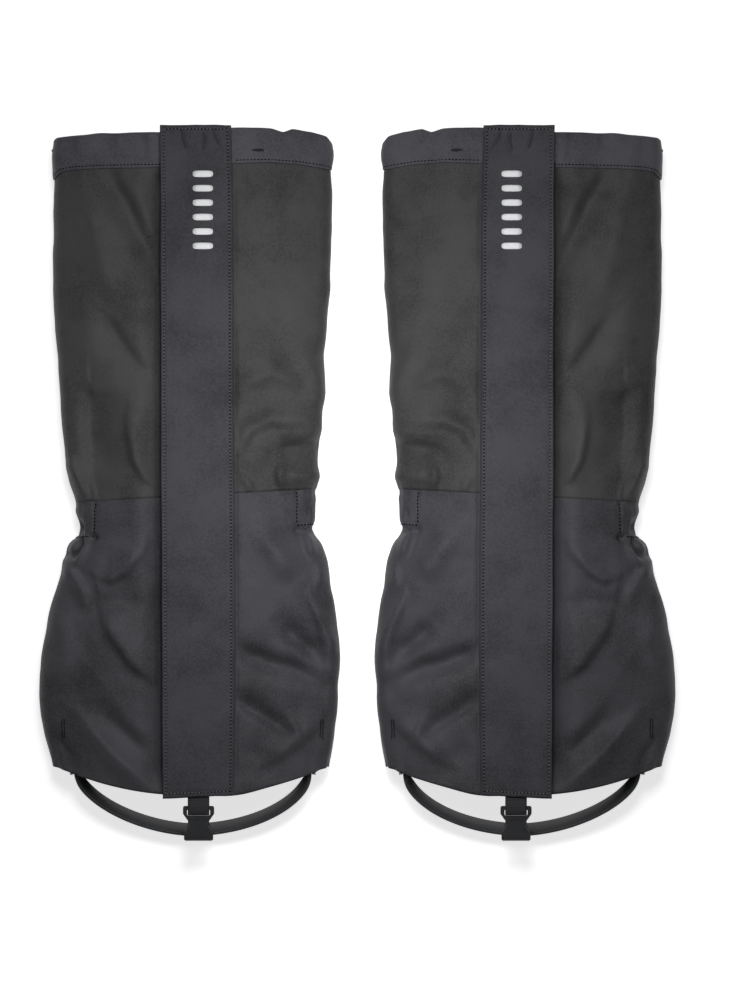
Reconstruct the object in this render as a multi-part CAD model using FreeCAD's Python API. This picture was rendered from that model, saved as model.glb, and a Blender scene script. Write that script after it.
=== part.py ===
import FreeCAD, Part
import math
import os

from FreeCAD import Placement, Rotation, Vector

# A pair of knee-high hiking gaiters, laid flat on their backs, in millimetres.
# Y runs along the legs, with the knee ends at +Y; Z is up; the front flaps face up.
# The left gaiter is built first, about the middle line of its flap, and the
# right one is its mirror image.

# ---- driving dimensions -------------------------------------------------------
FLAP_CENTRE_X = -107.1
FLAP_HALF = 23.4
FLAP_TOP = 238.6
FLAP_BOTTOM = -209.2

FRONT_Z = 38.0
FLAT_FRONT_HALF = 26.0
WIDEST_Z = 15.0
SIDE_ARC_SHARE = 0.55

SLIT_LEFT = 20.0
SLIT_RIGHT = 23.2
PANEL = 1.0

CUFF_TOP = 233.5
CUFF_BOTTOM = 209.5
CUFF_HALF = 2.0
TUNNEL_HALF = 1.4
TUNNEL_MARGIN = 2.5
CUFF_FRONT_LEFT = -20.5
CUFF_FRONT_RIGHT = 23.2

SEAM_Y = -8.3
SEAM_SLOPE = 0.057
ELASTIC_WIDTH = 22.0
ELASTIC_LEFT = -68.0
ELASTIC_RIGHT = 66.8

HEM_LEFT = (-95.0, -189.3)
HEM_MIDDLE = (-3.0, -208.4)
HEM_RIGHT = (88.5, -189.3)
HEM_FACING_WIDTH = 15.0

# the fabric dips below the table by this much before its underside is cut flat
UNDER_Z = -0.05

# cross-sections: y, width left and right of the flap's middle, back z, front z
STATIONS = [
    (240.0, 95.2, 88.8, 11.0, 36.0),
    (209.0, 96.9, 90.0, 11.0, 36.0),
    (185.0, 96.9, 90.0, 9.8, 38.0),
    (105.0, 95.5, 88.2, UNDER_Z, 38.0),
    (60.0, 91.3, 84.0, UNDER_Z, 38.0),
    (0.0, 85.0, 80.2, UNDER_Z, 38.0),
    (-33.5, 78.8, 76.8, UNDER_Z, 38.0),
    (-46.0, 87.3, 85.5, UNDER_Z, 38.0),
    (-80.0, 97.3, 91.8, UNDER_Z, 38.0),
    (-118.0, 104.2, 94.9, UNDER_Z, 38.0),
    (-150.0, 104.5, 94.2, UNDER_Z, 38.0),
    (-175.0, 100.0, 91.0, UNDER_Z, 38.0),
    (-215.0, 94.5, 87.0, UNDER_Z, 38.0),
]

FASTENER_HALF = 19.0
FASTENER_TOP = 185.0
FASTENER_BOTTOM = -186.0
LOOP_TAPE = 1.2
HOOK_TAPE_Z = 39.5
LINING_Z = 40.5
FLAP_OUTER_Z = 41.1
FLAP_TOP_Z = 42.0

PRINT_THICK = 0.2
PRINT_BARS = 6
PRINT_TOP_Y = 206.0
PRINT_PITCH = 9.6
PRINT_LEFT = -2.6
PRINT_RIGHT = 11.0
PRINT_HALF_HEIGHT = 2.2
PRINT_CORNER = 2.0
FLAP_CORNER = 1.5

HOOK_X = 1.3
WEBBING_HALF = 7.2
WEBBING_SLOPE = 12.0
WEBBING_HINGE_Y = -208.2
WEBBING_HINGE_Z = 39.5
WEBBING_HALF_STACK = 1.1
LOOP_BEND = 2.3
LOOP_INSIDE = 1.45
LOOP_SLACK = 2.2
LOOP_SWELL = 6.0
HOOK_PIVOT = 8.5
HOOK_SHEET = 1.5
HOOK_GAP = 2.4
HOOK_FOLD = 19.4
HOOK_CORNER = 1.4
HOOK_OPENING_CORNER = 0.4
HOOK_END = 2.75

# half outlines of the hook's sheet: distance from its pivot, half width
HOOK_BACK = [(-1.2, 10.4), (3.9, 10.4), (9.0, 6.9), (HOOK_FOLD, 9.7)]
HOOK_OPENING = [(1.25, 7.7), (4.3, 7.7), (5.3, 7.3)]
HOOK_TONGUE = [(8.2, 4.9), (17.0, 9.7), (HOOK_FOLD, 9.7)]

STRAP_AXIS_Y = -190.0
STRAP_AXIS_Z = 18.0
STRAP_MIDDLE_X = -2.8
STRAP_HALF_SPAN = 79.3
STRAP_REACH = 44.2
STRAP_THICK = 2.2
STRAP_WIDTH = 15.0
STRAP_TILT = 14.0

STRAP_END = 8.0
STRAP_CORNER = 5.0
STRAP_HOLES = [0.0, -9.0, -18.0]

TAB_THICK = 1.4
TAB_GAP = 0.35
TAB_CLEARANCE = 7.6
TAB_LOW = 11.0
TAB_HIGH = 23.5
TAB_BELOW = 9.0
TAB_STRAIGHT = 8.0
TACK_Y = -156.5
PATCH_HALF = 10.0
SIDE_WALL = {-1: 104.0, 1: 94.0}

POST_RADIUS = 2.4
POST_GAP = 0.8
POST_HEAD_RADIUS = 5.0
POST_HEAD = 1.0
POST_BORE = 1.3
POST_FLOOR = 0.6
SCREW_HEAD = 1.2
SCREW_LENGTH = 3.4
SCREW_SLOT = 1.0

CORD = 2.2
CORD_Y = 222.0
EXIT_Y = 218.2
EXIT_HALF_WIDTH = 4.9
EXIT_HALF_LENGTH = 6.0
EYELET_RIM = 1.4
EYELET_WALL = 0.4
EYELET_FLANGE = 0.7
EYELET_SLEEVE = 0.5
LEG_HALF = 1.8
LOCK_Y = 199.0
LOCK_Z = 4.5
LOCK_LENGTH = 11.0
LOCK_WIDTH = 17.0
LOCK_HEIGHT = 7.4
LOCK_CORNER = 1.6
LOCK_WALL = 1.2
LOCK_BORE = 2.9
CORD_PLAY = 0.35
PLUNGER_RADIUS = 2.6
PLUNGER_INNER = 4.6
BUTTON = 4.6
BUTTON_CORNER = 0.8
PLUNGER_SLOT = (-3.3, 5.3)
SPRING_RADII = (1.5, 2.2)
SPRING_WAVES = 3
SPRING_GROOVE = 0.3
CLIP_Y = 181.0
CLIP_LENGTH = 8.0
CLIP_HALF_WIDTH = 5.0
CLIP_HALF_HEIGHT = 2.6
CLIP_CORNER = 1.2
CLIP_PLAY = 0.05
CORD_BEHIND = 6.0
CORD_DROP = 9.5
CORD_RADII = [4.0, 6.0]


# larger than one gaiter, for cutting away
SPACE = 125.0
ABOVE_HEM = 60.0


# ---- cross-sections of the leg tube --------------------------------------------
def station(y):
    """Widths and heights at y, straight between the stations."""
    for upper, lower in zip(STATIONS, STATIONS[1:]):
        if upper[0] >= y >= lower[0]:
            share = (upper[0] - y) / (upper[0] - lower[0])
            return [a + (b - a) * share for a, b in zip(upper[1:], lower[1:])]
    raise ValueError("no section at y = %g" % y)


def arc(centre, radius, start, end):
    """Arc in the X-Z plane; angles in degrees from +X towards +Z."""
    def at(angle):
        turn = math.radians(angle)
        return (centre[0] + radius * math.cos(turn), centre[1] + radius * math.sin(turn))
    return [at(start), at((start + end) / 2), at(end)]


def side_arcs(width, sign, back, front, inset):
    """Arcs of one side, from the flat front to the flat back."""
    rise = front - WIDEST_Z - max(0.0, back - 8.0)
    middle = front - rise
    reach = width - FLAT_FRONT_HALF
    small = SIDE_ARC_SHARE * rise
    large = (reach ** 2 + rise ** 2 - 2 * reach * small) / (2 * (rise - small))
    low = middle - back
    large_centre = (FLAT_FRONT_HALF, front - large)
    small_centre = (width - small, middle)
    meet = math.degrees(math.atan2(small_centre[1] - large_centre[1],
                                   small_centre[0] - large_centre[0]))
    arcs = [
        arc(large_centre, large - inset, 90, meet),
        arc(small_centre, small - inset, meet, 0),
        arc((width - low, middle), low - inset, 0, -90),
    ]
    return [[(sign * x, z) for x, z in points] for points in arcs]


def outline(y, inset, left_end, right_end):
    """Edges from the left front end, round the back, to the right front end."""
    left, right, back, front = station(y)
    left_arcs = side_arcs(left, -1, back, front, inset)
    right_arcs = side_arcs(right, 1, back, front, inset)
    top = front - inset
    edges = [[(left_end, top), left_arcs[0][0]]]
    edges += left_arcs
    edges.append([left_arcs[2][2], right_arcs[2][2]])
    edges += [points[::-1] for points in reversed(right_arcs)]
    edges.append([right_arcs[0][0], (right_end, top)])
    return edges


def as_edge(points, y):
    places = [Vector(x, y, z) for x, z in points]
    if len(places) == 2:
        return Part.LineSegment(places[0], places[1]).toShape()
    return Part.Arc(places[0], places[1], places[2]).toShape()


def ring_wire(y, outside, inside, left_end, right_end):
    outer = outline(y, outside, left_end, right_end)
    inner = [points[::-1] for points in reversed(outline(y, inside, left_end, right_end))]
    loop = outer + [[outer[-1][-1], inner[0][0]]] + inner + [[inner[-1][-1], outer[0][0]]]
    return Part.Wire([as_edge(points, y) for points in loop])


def ring(y_top, y_bottom, outside, inside, left_end=SLIT_LEFT, right_end=SLIT_RIGHT):
    """Thin tube, open at the front between its two ends."""
    between = [row[0] for row in STATIONS if y_bottom + 0.01 < row[0] < y_top - 0.01]
    levels = [y_top] + between + [y_bottom]
    wires = [ring_wire(y, outside, inside, left_end, right_end) for y in levels]
    return Part.makeLoft(wires, True, True)


def core(y_top, y_bottom, inset):
    """The solid space inside the tube."""
    between = [row[0] for row in STATIONS if y_bottom + 0.01 < row[0] < y_top - 0.01]
    wires = []
    for y in [y_top] + between + [y_bottom]:
        edges = outline(y, inset, 0.0, 0.0)
        wires.append(Part.Wire([as_edge(points, y) for points in edges]))
    return Part.makeLoft(wires, True, True)


# ---- small helpers ---------------------------------------------------------------
def box(x0, x1, y0, y1, z0, z1):
    return Part.makeBox(x1 - x0, y1 - y0, z1 - z0, Vector(x0, y0, z0))


def prism(points, z0, z1):
    """Upright prism on a polygon of (x, y) points."""
    places = [Vector(x, y, z0) for x, y in points]
    face = Part.Face(Part.makePolygon(places + places[:1]))
    return face.extrude(Vector(0, 0, z1 - z0))


def rested(shape):
    """Underside cut flat, where the fabric lies on the table."""
    return shape.common(box(-SPACE, SPACE, -2 * SPACE, 2 * SPACE, 0.0, SPACE))


def seam_y(x, offset=0.0):
    return SEAM_Y + SEAM_SLOPE * x + offset


def seam_band(top_offset, bottom_offset):
    """Region between two lines parallel to the ankle seam."""
    return prism([(-SPACE, seam_y(-SPACE, top_offset)), (SPACE, seam_y(SPACE, top_offset)),
                  (SPACE, seam_y(SPACE, bottom_offset)), (-SPACE, seam_y(-SPACE, bottom_offset))],
                 -10, SPACE)


def hem_region(offset, top):
    """Everything above the curved hem, moved up by offset."""
    places = [Vector(x, y + offset, -10) for x, y in (HEM_LEFT, HEM_MIDDLE, HEM_RIGHT)]
    corners = [Vector(SPACE, places[2].y, -10), Vector(SPACE, top, -10),
               Vector(-SPACE, top, -10), Vector(-SPACE, places[0].y, -10)]
    edges = [Part.Arc(places[0], places[1], places[2]).toShape()]
    path = [places[2]] + corners + [places[0]]
    edges += [Part.LineSegment(a, b).toShape() for a, b in zip(path, path[1:])]
    return Part.Face(Part.Wire(edges)).extrude(Vector(0, 0, SPACE))


def cylinder(radius, start, direction, length):
    return Part.makeCylinder(radius, length, Vector(*start), Vector(*direction))


def rounded(shape, radius, keep):
    """Fillet the edges that keep() accepts."""
    return shape.makeFillet(radius, [edge for edge in shape.Edges if keep(edge)])


def along(axis):
    """Accept straight edges along a unit vector."""
    def keep(edge):
        line = edge.Curve
        return isinstance(line, Part.Line) and abs(abs(line.Direction.dot(axis)) - 1) < 1e-6
    return keep


# ---- fabric body ----------------------------------------------------------------
def upper_panel():
    tube = ring(CUFF_BOTTOM, -25.0, 0.0, PANEL)
    return rested(tube.common(seam_band(2 * SPACE, 0.0)))


def lower_panel():
    tube = ring(5.0, -212.0, 0.0, PANEL)
    return rested(tube.common(seam_band(0.0, -2 * SPACE)).common(hem_region(0.0, ABOVE_HEM)))


def top_cuff():
    ends = (CUFF_FRONT_LEFT, CUFF_FRONT_RIGHT)
    band = ring(CUFF_TOP, CUFF_BOTTOM, -CUFF_HALF, CUFF_HALF, *ends)
    tunnel = ring(CUFF_TOP - TUNNEL_MARGIN, CUFF_BOTTOM + TUNNEL_MARGIN,
                  -TUNNEL_HALF, TUNNEL_HALF, ends[0] - 1.0, ends[1] - 1.0)
    exit_slot = prism(oval(EXIT_HALF_WIDTH, EXIT_HALF_LENGTH, EXIT_Y), 2.0, 11.5)
    return band.cut(tunnel).cut(exit_slot)


def oval(half_width, half_length, middle_y):
    """Points of an oval about the cord exit."""
    count = 24
    turns = [2 * math.pi * step / count for step in range(count)]
    return [(half_width * math.cos(t), middle_y + half_length * math.sin(t)) for t in turns]


def cuff_eyelet():
    outer_z = station(CORD_Y)[2] - CUFF_HALF
    flange = prism(oval(EXIT_HALF_WIDTH + EYELET_RIM, EXIT_HALF_LENGTH + EYELET_RIM, EXIT_Y),
                   outer_z - EYELET_FLANGE, outer_z)
    sleeve = prism(oval(EXIT_HALF_WIDTH, EXIT_HALF_LENGTH, EXIT_Y),
                   outer_z - EYELET_FLANGE, outer_z + EYELET_SLEEVE)
    hole = prism(oval(EXIT_HALF_WIDTH - EYELET_WALL, EXIT_HALF_LENGTH - EYELET_WALL, EXIT_Y),
                 outer_z - 2 * EYELET_FLANGE, outer_z + 2 * EYELET_SLEEVE)
    return flange.fuse(sleeve).cut(hole).removeSplitter()


def ankle_elastic():
    band = ring(5.0, -46.0, PANEL + 0.1, PANEL + 1.1).common(seam_band(-1.0, -1.0 - ELASTIC_WIDTH))
    front = box(ELASTIC_LEFT, ELASTIC_RIGHT, -SPACE, SPACE, WIDEST_Z, SPACE)
    return band.cut(front)


def ankle_casing():
    band = ring(5.0, -46.0, PANEL + 1.2, PANEL + 1.8).common(seam_band(0.0, -2.0 - ELASTIC_WIDTH))
    front = box(ELASTIC_LEFT - 2.0, ELASTIC_RIGHT + 2.0, -SPACE, SPACE, WIDEST_Z, SPACE)
    return band.cut(front)


def hem_facing():
    band = ring(-150.0, -212.0, PANEL + 0.05, PANEL + 0.65, SLIT_LEFT - 2.0, SLIT_RIGHT + 2.0)
    return band.common(hem_region(0.6, ABOVE_HEM)).cut(hem_region(HEM_FACING_WIDTH, ABOVE_HEM))


# ---- front closure -----------------------------------------------------------------
def loop_tape():
    return box(-FASTENER_HALF, FASTENER_HALF, FASTENER_BOTTOM, FASTENER_TOP,
               FRONT_Z, FRONT_Z + LOOP_TAPE)


def hook_tape():
    return box(-FASTENER_HALF, FASTENER_HALF, FASTENER_BOTTOM, FASTENER_TOP,
               HOOK_TAPE_Z, LINING_Z)


def flap_lining():
    return box(-FLAP_HALF + 1.2, FLAP_HALF - 2.0, FLAP_BOTTOM + 2.0, FLAP_TOP - 2.0,
               LINING_Z, FLAP_OUTER_Z)


def flap_outer():
    sheet = box(-FLAP_HALF, FLAP_HALF, FLAP_BOTTOM, FLAP_TOP, FLAP_OUTER_Z, FLAP_TOP_Z)
    return rounded(sheet, FLAP_CORNER, along(Vector(0, 0, 1)))


def reflective_print():
    """Column of plain reflective bars near the top of the flap."""
    bars = []
    for step in range(PRINT_BARS):
        y = PRINT_TOP_Y - PRINT_PITCH * step
        bar = box(PRINT_LEFT, PRINT_RIGHT, y - PRINT_HALF_HEIGHT, y + PRINT_HALF_HEIGHT,
                  FLAP_TOP_Z, FLAP_TOP_Z + PRINT_THICK)
        bars.append(rounded(bar, PRINT_CORNER, along(Vector(0, 0, 1))))
    return Part.makeCompound(bars)


# ---- lace hook and its webbing ---------------------------------------------------------
def hook_frame(shape):
    """Put a shape drawn down-slope along +X, with its face to +Z, onto the slope."""
    placed = shape.copy()
    placed.Placement = Placement(Vector(HOOK_X, WEBBING_HINGE_Y, WEBBING_HINGE_Z),
                                 Rotation(Vector(0, 0, 1), -90)) \
        .multiply(Placement(Vector(0, 0, 0), Rotation(Vector(0, 1, 0), WEBBING_SLOPE)))
    return placed


def hook_webbing_sewn():
    return box(HOOK_X - WEBBING_HALF, HOOK_X + WEBBING_HALF,
               WEBBING_HINGE_Y + 1.0, FASTENER_BOTTOM - 1.0, FRONT_Z, FRONT_Z + 1.2)


def hook_webbing_loop():
    """Two layers that open into a slack loop round the hook's top bar."""
    slack = HOOK_PIVOT + LOOP_SLACK
    start = [Vector(0.8, 0, sign * WEBBING_HALF_STACK) for sign in (1, -1)]
    swell = [Vector(slack - LOOP_SWELL, 0, sign * WEBBING_HALF_STACK) for sign in (1, -1)]
    top = Vector(slack, 0, LOOP_BEND)
    tip = Vector(slack + LOOP_BEND, 0, 0)
    low = Vector(slack, 0, -LOOP_BEND)
    edges = [
        Part.LineSegment(start[0], swell[0]).toShape(),
        Part.LineSegment(swell[0], top).toShape(),
        Part.Arc(top, tip, low).toShape(),
        Part.LineSegment(low, swell[1]).toShape(),
        Part.LineSegment(swell[1], start[1]).toShape(),
        Part.LineSegment(start[1], start[0]).toShape(),
    ]
    body = Part.Face(Part.Wire(edges)).extrude(Vector(0, 2 * WEBBING_HALF, 0))
    body.translate(Vector(0, -WEBBING_HALF, 0))
    length = 2 * WEBBING_HALF + 2
    hole = cylinder(LOOP_INSIDE, (HOOK_PIVOT, -length / 2, 0), (0, 1, 0), length)
    end = cylinder(LOOP_INSIDE, (slack, -length / 2, 0), (0, 1, 0), length)
    room = box(HOOK_PIVOT, slack, -length / 2, length / 2, -LOOP_INSIDE, LOOP_INSIDE)
    return hook_frame(body.cut(hole).cut(end).cut(room))


def lace_hook():
    """Ring and back plate of sheet steel, folded back up as a tongue."""
    def plate(half_outline, z0, corner, keep):
        both = half_outline + [(s, -x) for s, x in reversed(half_outline)]
        sheet = prism([(HOOK_PIVOT + s, x) for s, x in both], z0, z0 + HOOK_SHEET)
        upright = along(Vector(0, 0, 1))
        return rounded(sheet, corner, lambda edge: upright(edge) and keep(edge.CenterOfMass.x))

    half = HOOK_SHEET / 2
    fold_x = HOOK_PIVOT + HOOK_FOLD
    back = plate(HOOK_BACK, -half, HOOK_CORNER, lambda x: x < fold_x - 1)
    opening = plate(HOOK_OPENING, -half, HOOK_OPENING_CORNER, lambda x: True)
    tongue = plate(HOOK_TONGUE, half + HOOK_GAP, HOOK_OPENING_CORNER, lambda x: x < fold_x - 1)
    width = HOOK_TONGUE[-1][1]
    centre = (fold_x, -width, half + HOOK_GAP / 2)
    bend = cylinder(HOOK_GAP / 2 + HOOK_SHEET, centre, (0, 1, 0), 2 * width)
    bend = bend.cut(cylinder(HOOK_GAP / 2, centre, (0, 1, 0), 2 * width))
    bend = bend.common(box(fold_x, fold_x + 2 * HOOK_FOLD, -width, width, -HOOK_FOLD, HOOK_FOLD))
    end_x = fold_x + HOOK_END
    half_ends = [(fold_x - 1, width), (end_x - HOOK_CORNER, width), (end_x, width - HOOK_CORNER)]
    ends = prism(half_ends + [(x, -y) for x, y in reversed(half_ends)], -HOOK_FOLD, HOOK_FOLD)
    bend = bend.common(ends)
    return hook_frame(back.cut(opening).fuse([tongue, bend]).removeSplitter())


# ---- underfoot strap ---------------------------------------------------------------------
def half_oval(span, reach, z):
    """Half ellipse in the strap's own plane, open at +Y."""
    curve = Part.Ellipse(Vector(0, 0, z), span, reach)
    edge = Part.Arc(curve, math.pi, 2 * math.pi).toShape()
    return edge


def strap_plane(shape):
    placed = shape.copy()
    placed.Placement = Placement(Vector(STRAP_MIDDLE_X, STRAP_AXIS_Y, STRAP_AXIS_Z),
                                 Rotation(Vector(1, 0, 0), STRAP_TILT))
    return placed


def underfoot_strap():
    """Flat band bent in a half oval, with a straight holed end on each side."""
    low = -STRAP_WIDTH / 2
    inner_span = STRAP_HALF_SPAN - STRAP_THICK
    outer = half_oval(STRAP_HALF_SPAN, STRAP_REACH, low)
    inner = half_oval(inner_span, STRAP_REACH - STRAP_THICK, low)
    caps = [Part.LineSegment(Vector(side * STRAP_HALF_SPAN, 0, low),
                             Vector(side * inner_span, 0, low)).toShape() for side in (-1, 1)]
    wire = Part.Wire(Part.__sortEdges__([outer, caps[1], inner, caps[0]]))
    band = Part.Face(wire).extrude(Vector(0, 0, STRAP_WIDTH))
    for side, holes in ((-1, STRAP_HOLES), (1, STRAP_HOLES[:1])):
        x0 = min(side * STRAP_HALF_SPAN, side * inner_span)
        end = box(x0, x0 + STRAP_THICK, -0.5, STRAP_END, low, -low)
        end = rounded(end, STRAP_CORNER, lambda edge: along(Vector(1, 0, 0))(edge)
                      and edge.CenterOfMass.y > STRAP_END - 1)
        band = band.fuse(end)
        for y in holes:
            band = band.cut(cylinder(POST_RADIUS + 0.3, (x0 - 5, y, 0), (1, 0, 0), STRAP_THICK + 10))
    return strap_plane(band.removeSplitter())


def strap_side(side):
    """X of the strap's outer face at one side, and the direction outwards."""
    return STRAP_MIDDLE_X + side * STRAP_HALF_SPAN


def anchor_tab(side):
    """Webbing tab outside the strap's end, slanting from the post to the side wall."""
    at_post = strap_side(side) + side * TAB_GAP
    at_wall = side * (SIDE_WALL[side] - TAB_CLEARANCE)
    line = [(at_post, STRAP_AXIS_Y - TAB_BELOW), (at_post, STRAP_AXIS_Y + TAB_STRAIGHT),
            (at_wall, TACK_Y - TAB_STRAIGHT), (at_wall, TACK_Y + TAB_STRAIGHT)]
    outside = [(x + side * TAB_THICK, y) for x, y in reversed(line)]
    tab = prism(line + outside, TAB_LOW, TAB_HIGH)
    start = (at_post - side, STRAP_AXIS_Y, STRAP_AXIS_Z)
    return tab.cut(cylinder(POST_RADIUS, start, (side, 0, 0), TAB_THICK + 2))


def anchor_patch(side):
    """Reinforcement between the tab's upper end and the side of the panel."""
    x0, x1 = sorted((side * (SIDE_WALL[side] - TAB_CLEARANCE + TAB_THICK), side * 120.0))
    block = box(x0, x1, TACK_Y - PATCH_HALF, TACK_Y + PATCH_HALF, TAB_LOW + 0.5, TAB_HIGH - 0.5)
    return block.common(core(TACK_Y + 1.5 * PATCH_HALF, TACK_Y - 1.5 * PATCH_HALF, PANEL + 0.02))


def post_barrels():
    """Headed sleeves, pushed through the tabs and the strap from outside."""
    posts = []
    for side in (-1, 1):
        outside = strap_side(side) + side * (TAB_GAP + TAB_THICK)
        length = TAB_GAP + TAB_THICK + STRAP_THICK + POST_GAP
        barrel = cylinder(POST_RADIUS - 0.05, (outside, STRAP_AXIS_Y, STRAP_AXIS_Z),
                          (-side, 0, 0), length)
        head = cylinder(POST_HEAD_RADIUS, (outside, STRAP_AXIS_Y, STRAP_AXIS_Z),
                        (side, 0, 0), POST_HEAD)
        bore = cylinder(POST_BORE, (outside - side * POST_FLOOR, STRAP_AXIS_Y, STRAP_AXIS_Z),
                        (-side, 0, 0), length)
        posts.append(barrel.fuse(head).removeSplitter().cut(bore))
    return Part.makeCompound(posts)


def post_screws():
    """Slotted screws that close the posts from inside."""
    posts = []
    for side in (-1, 1):
        inside = strap_side(side) - side * (STRAP_THICK + POST_GAP)
        head = cylinder(POST_HEAD_RADIUS - 0.5, (inside, STRAP_AXIS_Y, STRAP_AXIS_Z),
                        (-side, 0, 0), SCREW_HEAD)
        shank = cylinder(POST_BORE - 0.05, (inside - side * 0.2, STRAP_AXIS_Y, STRAP_AXIS_Z),
                         (side, 0, 0), SCREW_LENGTH)
        x = inside - side * SCREW_HEAD
        slot = box(x - SCREW_SLOT / 2, x + SCREW_SLOT / 2,
                   STRAP_AXIS_Y - POST_HEAD_RADIUS, STRAP_AXIS_Y + POST_HEAD_RADIUS,
                   STRAP_AXIS_Z - SCREW_SLOT / 2, STRAP_AXIS_Z + SCREW_SLOT / 2)
        posts.append(head.fuse(shank).removeSplitter().cut(slot))
    return Part.makeCompound(posts)


# ---- drawcord and cord lock ----------------------------------------------------------------
def blend_corners(points, radii):
    """Straight runs joined by tangent arcs of the given radii."""
    edges = []
    start = points[0]
    for before, corner, after, radius in zip(points, points[1:], points[2:], radii):
        into = (corner - before).normalize()
        out = (after - corner).normalize()
        turn = into.getAngle(out)
        cut = radius * math.tan(turn / 2)
        first = corner - into * cut
        last = corner + out * cut
        bisector = (out - into).normalize()
        centre = corner + bisector * (radius / math.cos(turn / 2))
        middle = centre - bisector * radius
        edges.append(Part.LineSegment(start, first).toShape())
        edges.append(Part.Arc(first, middle, last).toShape())
        start = last
    edges.append(Part.LineSegment(start, points[-1]).toShape())
    return edges


def tunnel_edges(side):
    """The cord's way round one side of the cuff, from the front end to the back."""
    left, right, back, front = station(CORD_Y)
    width = left if side < 0 else right
    arcs = side_arcs(width, side, back, front, 0.0)
    front_end = (side * (FLAT_FRONT_HALF - 1.0), front)
    stop = (side * (LEG_HALF + CORD_BEHIND), back)
    path = [[front_end, arcs[0][0]]] + arcs + [[arcs[2][2], stop]]
    return [as_edge(points, CORD_Y) for points in path]


def drawcord():
    """Elastic cord: round both sides of the cuff and out through the eyelet as a loop."""
    back = station(CORD_Y)[2]
    tail = CLIP_Y - CLIP_LENGTH / 2
    legs = []
    for side in (-1, 1):
        x = side * LEG_HALF
        points = [
            Vector(side * (LEG_HALF + CORD_BEHIND), CORD_Y, back),
            Vector(x, CORD_Y, back),
            Vector(x, CORD_Y - CORD_DROP, LOCK_Z),
            Vector(x, tail, LOCK_Z),
        ]
        legs.append(blend_corners(points, CORD_RADII))
    end = Part.Arc(Vector(-LEG_HALF, tail, LOCK_Z), Vector(0, tail - LEG_HALF, LOCK_Z),
                   Vector(LEG_HALF, tail, LOCK_Z)).toShape()
    edges = tunnel_edges(-1) + legs[0] + [end] + legs[1][::-1] + tunnel_edges(1)[::-1]
    path = Part.Wire(Part.__sortEdges__(edges))
    start = path.OrderedVertexes[0].Point
    profile = Part.Wire(Part.makeCircle(CORD / 2, start, Vector(1, 0, 0)))
    tube = path.makePipeShell([profile], True, True)
    ideal = path.Length * math.pi * CORD ** 2 / 4
    print("drawcord length %.0f, volume share %.3f" % (path.Length, tube.Volume / ideal))
    return tube


def cord_slot(length, y):
    half = LEG_HALF + CORD / 2 + CORD_PLAY
    height = CORD / 2 + CORD_PLAY
    return box(-half, half, y - length, y + length, LOCK_Z - height, LOCK_Z + height)


def cord_lock_barrel():
    body = box(-LOCK_WIDTH / 2, LOCK_WIDTH / 2, LOCK_Y - LOCK_LENGTH / 2,
               LOCK_Y + LOCK_LENGTH / 2, LOCK_Z - LOCK_HEIGHT / 2, LOCK_Z + LOCK_HEIGHT / 2)
    body = rounded(body, LOCK_CORNER, along(Vector(1, 0, 0)))
    bore = cylinder(LOCK_BORE, (-LOCK_WIDTH / 2 + LOCK_WALL, LOCK_Y, LOCK_Z), (1, 0, 0), LOCK_WIDTH)
    return body.cut(bore).cut(cord_slot(LOCK_LENGTH, LOCK_Y))


def cord_lock_plunger():
    end = LOCK_WIDTH / 2
    stem = cylinder(PLUNGER_RADIUS, (-PLUNGER_INNER, LOCK_Y, LOCK_Z), (1, 0, 0),
                    end + PLUNGER_INNER + 0.2)
    button = cylinder(PLUNGER_RADIUS, (end + 0.1, LOCK_Y, LOCK_Z), (1, 0, 0), BUTTON)
    button = button.makeFillet(BUTTON_CORNER, [button.Edges[0]])
    height = CORD / 2 + CORD_PLAY
    slot = box(PLUNGER_SLOT[0], PLUNGER_SLOT[1], LOCK_Y - LOCK_LENGTH, LOCK_Y + LOCK_LENGTH,
               LOCK_Z - height, LOCK_Z + height)
    return stem.fuse(button).removeSplitter().cut(slot)


def cord_lock_spring():
    """Wave-ring spring between the plunger and the closed end of the bore."""
    inside, outside = SPRING_RADII
    start = -LOCK_WIDTH / 2 + LOCK_WALL + 0.05
    length = -PLUNGER_INNER - 0.05 - start
    pitch = length / SPRING_WAVES
    at = (start, LOCK_Y, LOCK_Z)
    tube = cylinder(outside, at, (1, 0, 0), length)
    for step in range(1, SPRING_WAVES):
        groove_at = (start + step * pitch - SPRING_GROOVE / 2, LOCK_Y, LOCK_Z)
        around = cylinder(LOCK_BORE, groove_at, (1, 0, 0), SPRING_GROOVE)
        tube = tube.cut(around.cut(cylinder(outside - 0.3, groove_at, (1, 0, 0), SPRING_GROOVE)))
    return tube.cut(cylinder(inside, at, (1, 0, 0), length))


def cord_end_clip():
    body = box(-CLIP_HALF_WIDTH, CLIP_HALF_WIDTH, CLIP_Y - CLIP_LENGTH, CLIP_Y,
               LOCK_Z - CLIP_HALF_HEIGHT, LOCK_Z + CLIP_HALF_HEIGHT)
    body = rounded(body, CLIP_CORNER, along(Vector(0, 0, 1)))
    half = LEG_HALF + CORD / 2 + CLIP_PLAY
    height = CORD / 2 + CLIP_PLAY
    pocket = box(-half, half, CLIP_Y - CLIP_LENGTH + 1.0, CLIP_Y + 1.0,
                 LOCK_Z - height, LOCK_Z + height)
    return body.cut(pocket)


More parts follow.
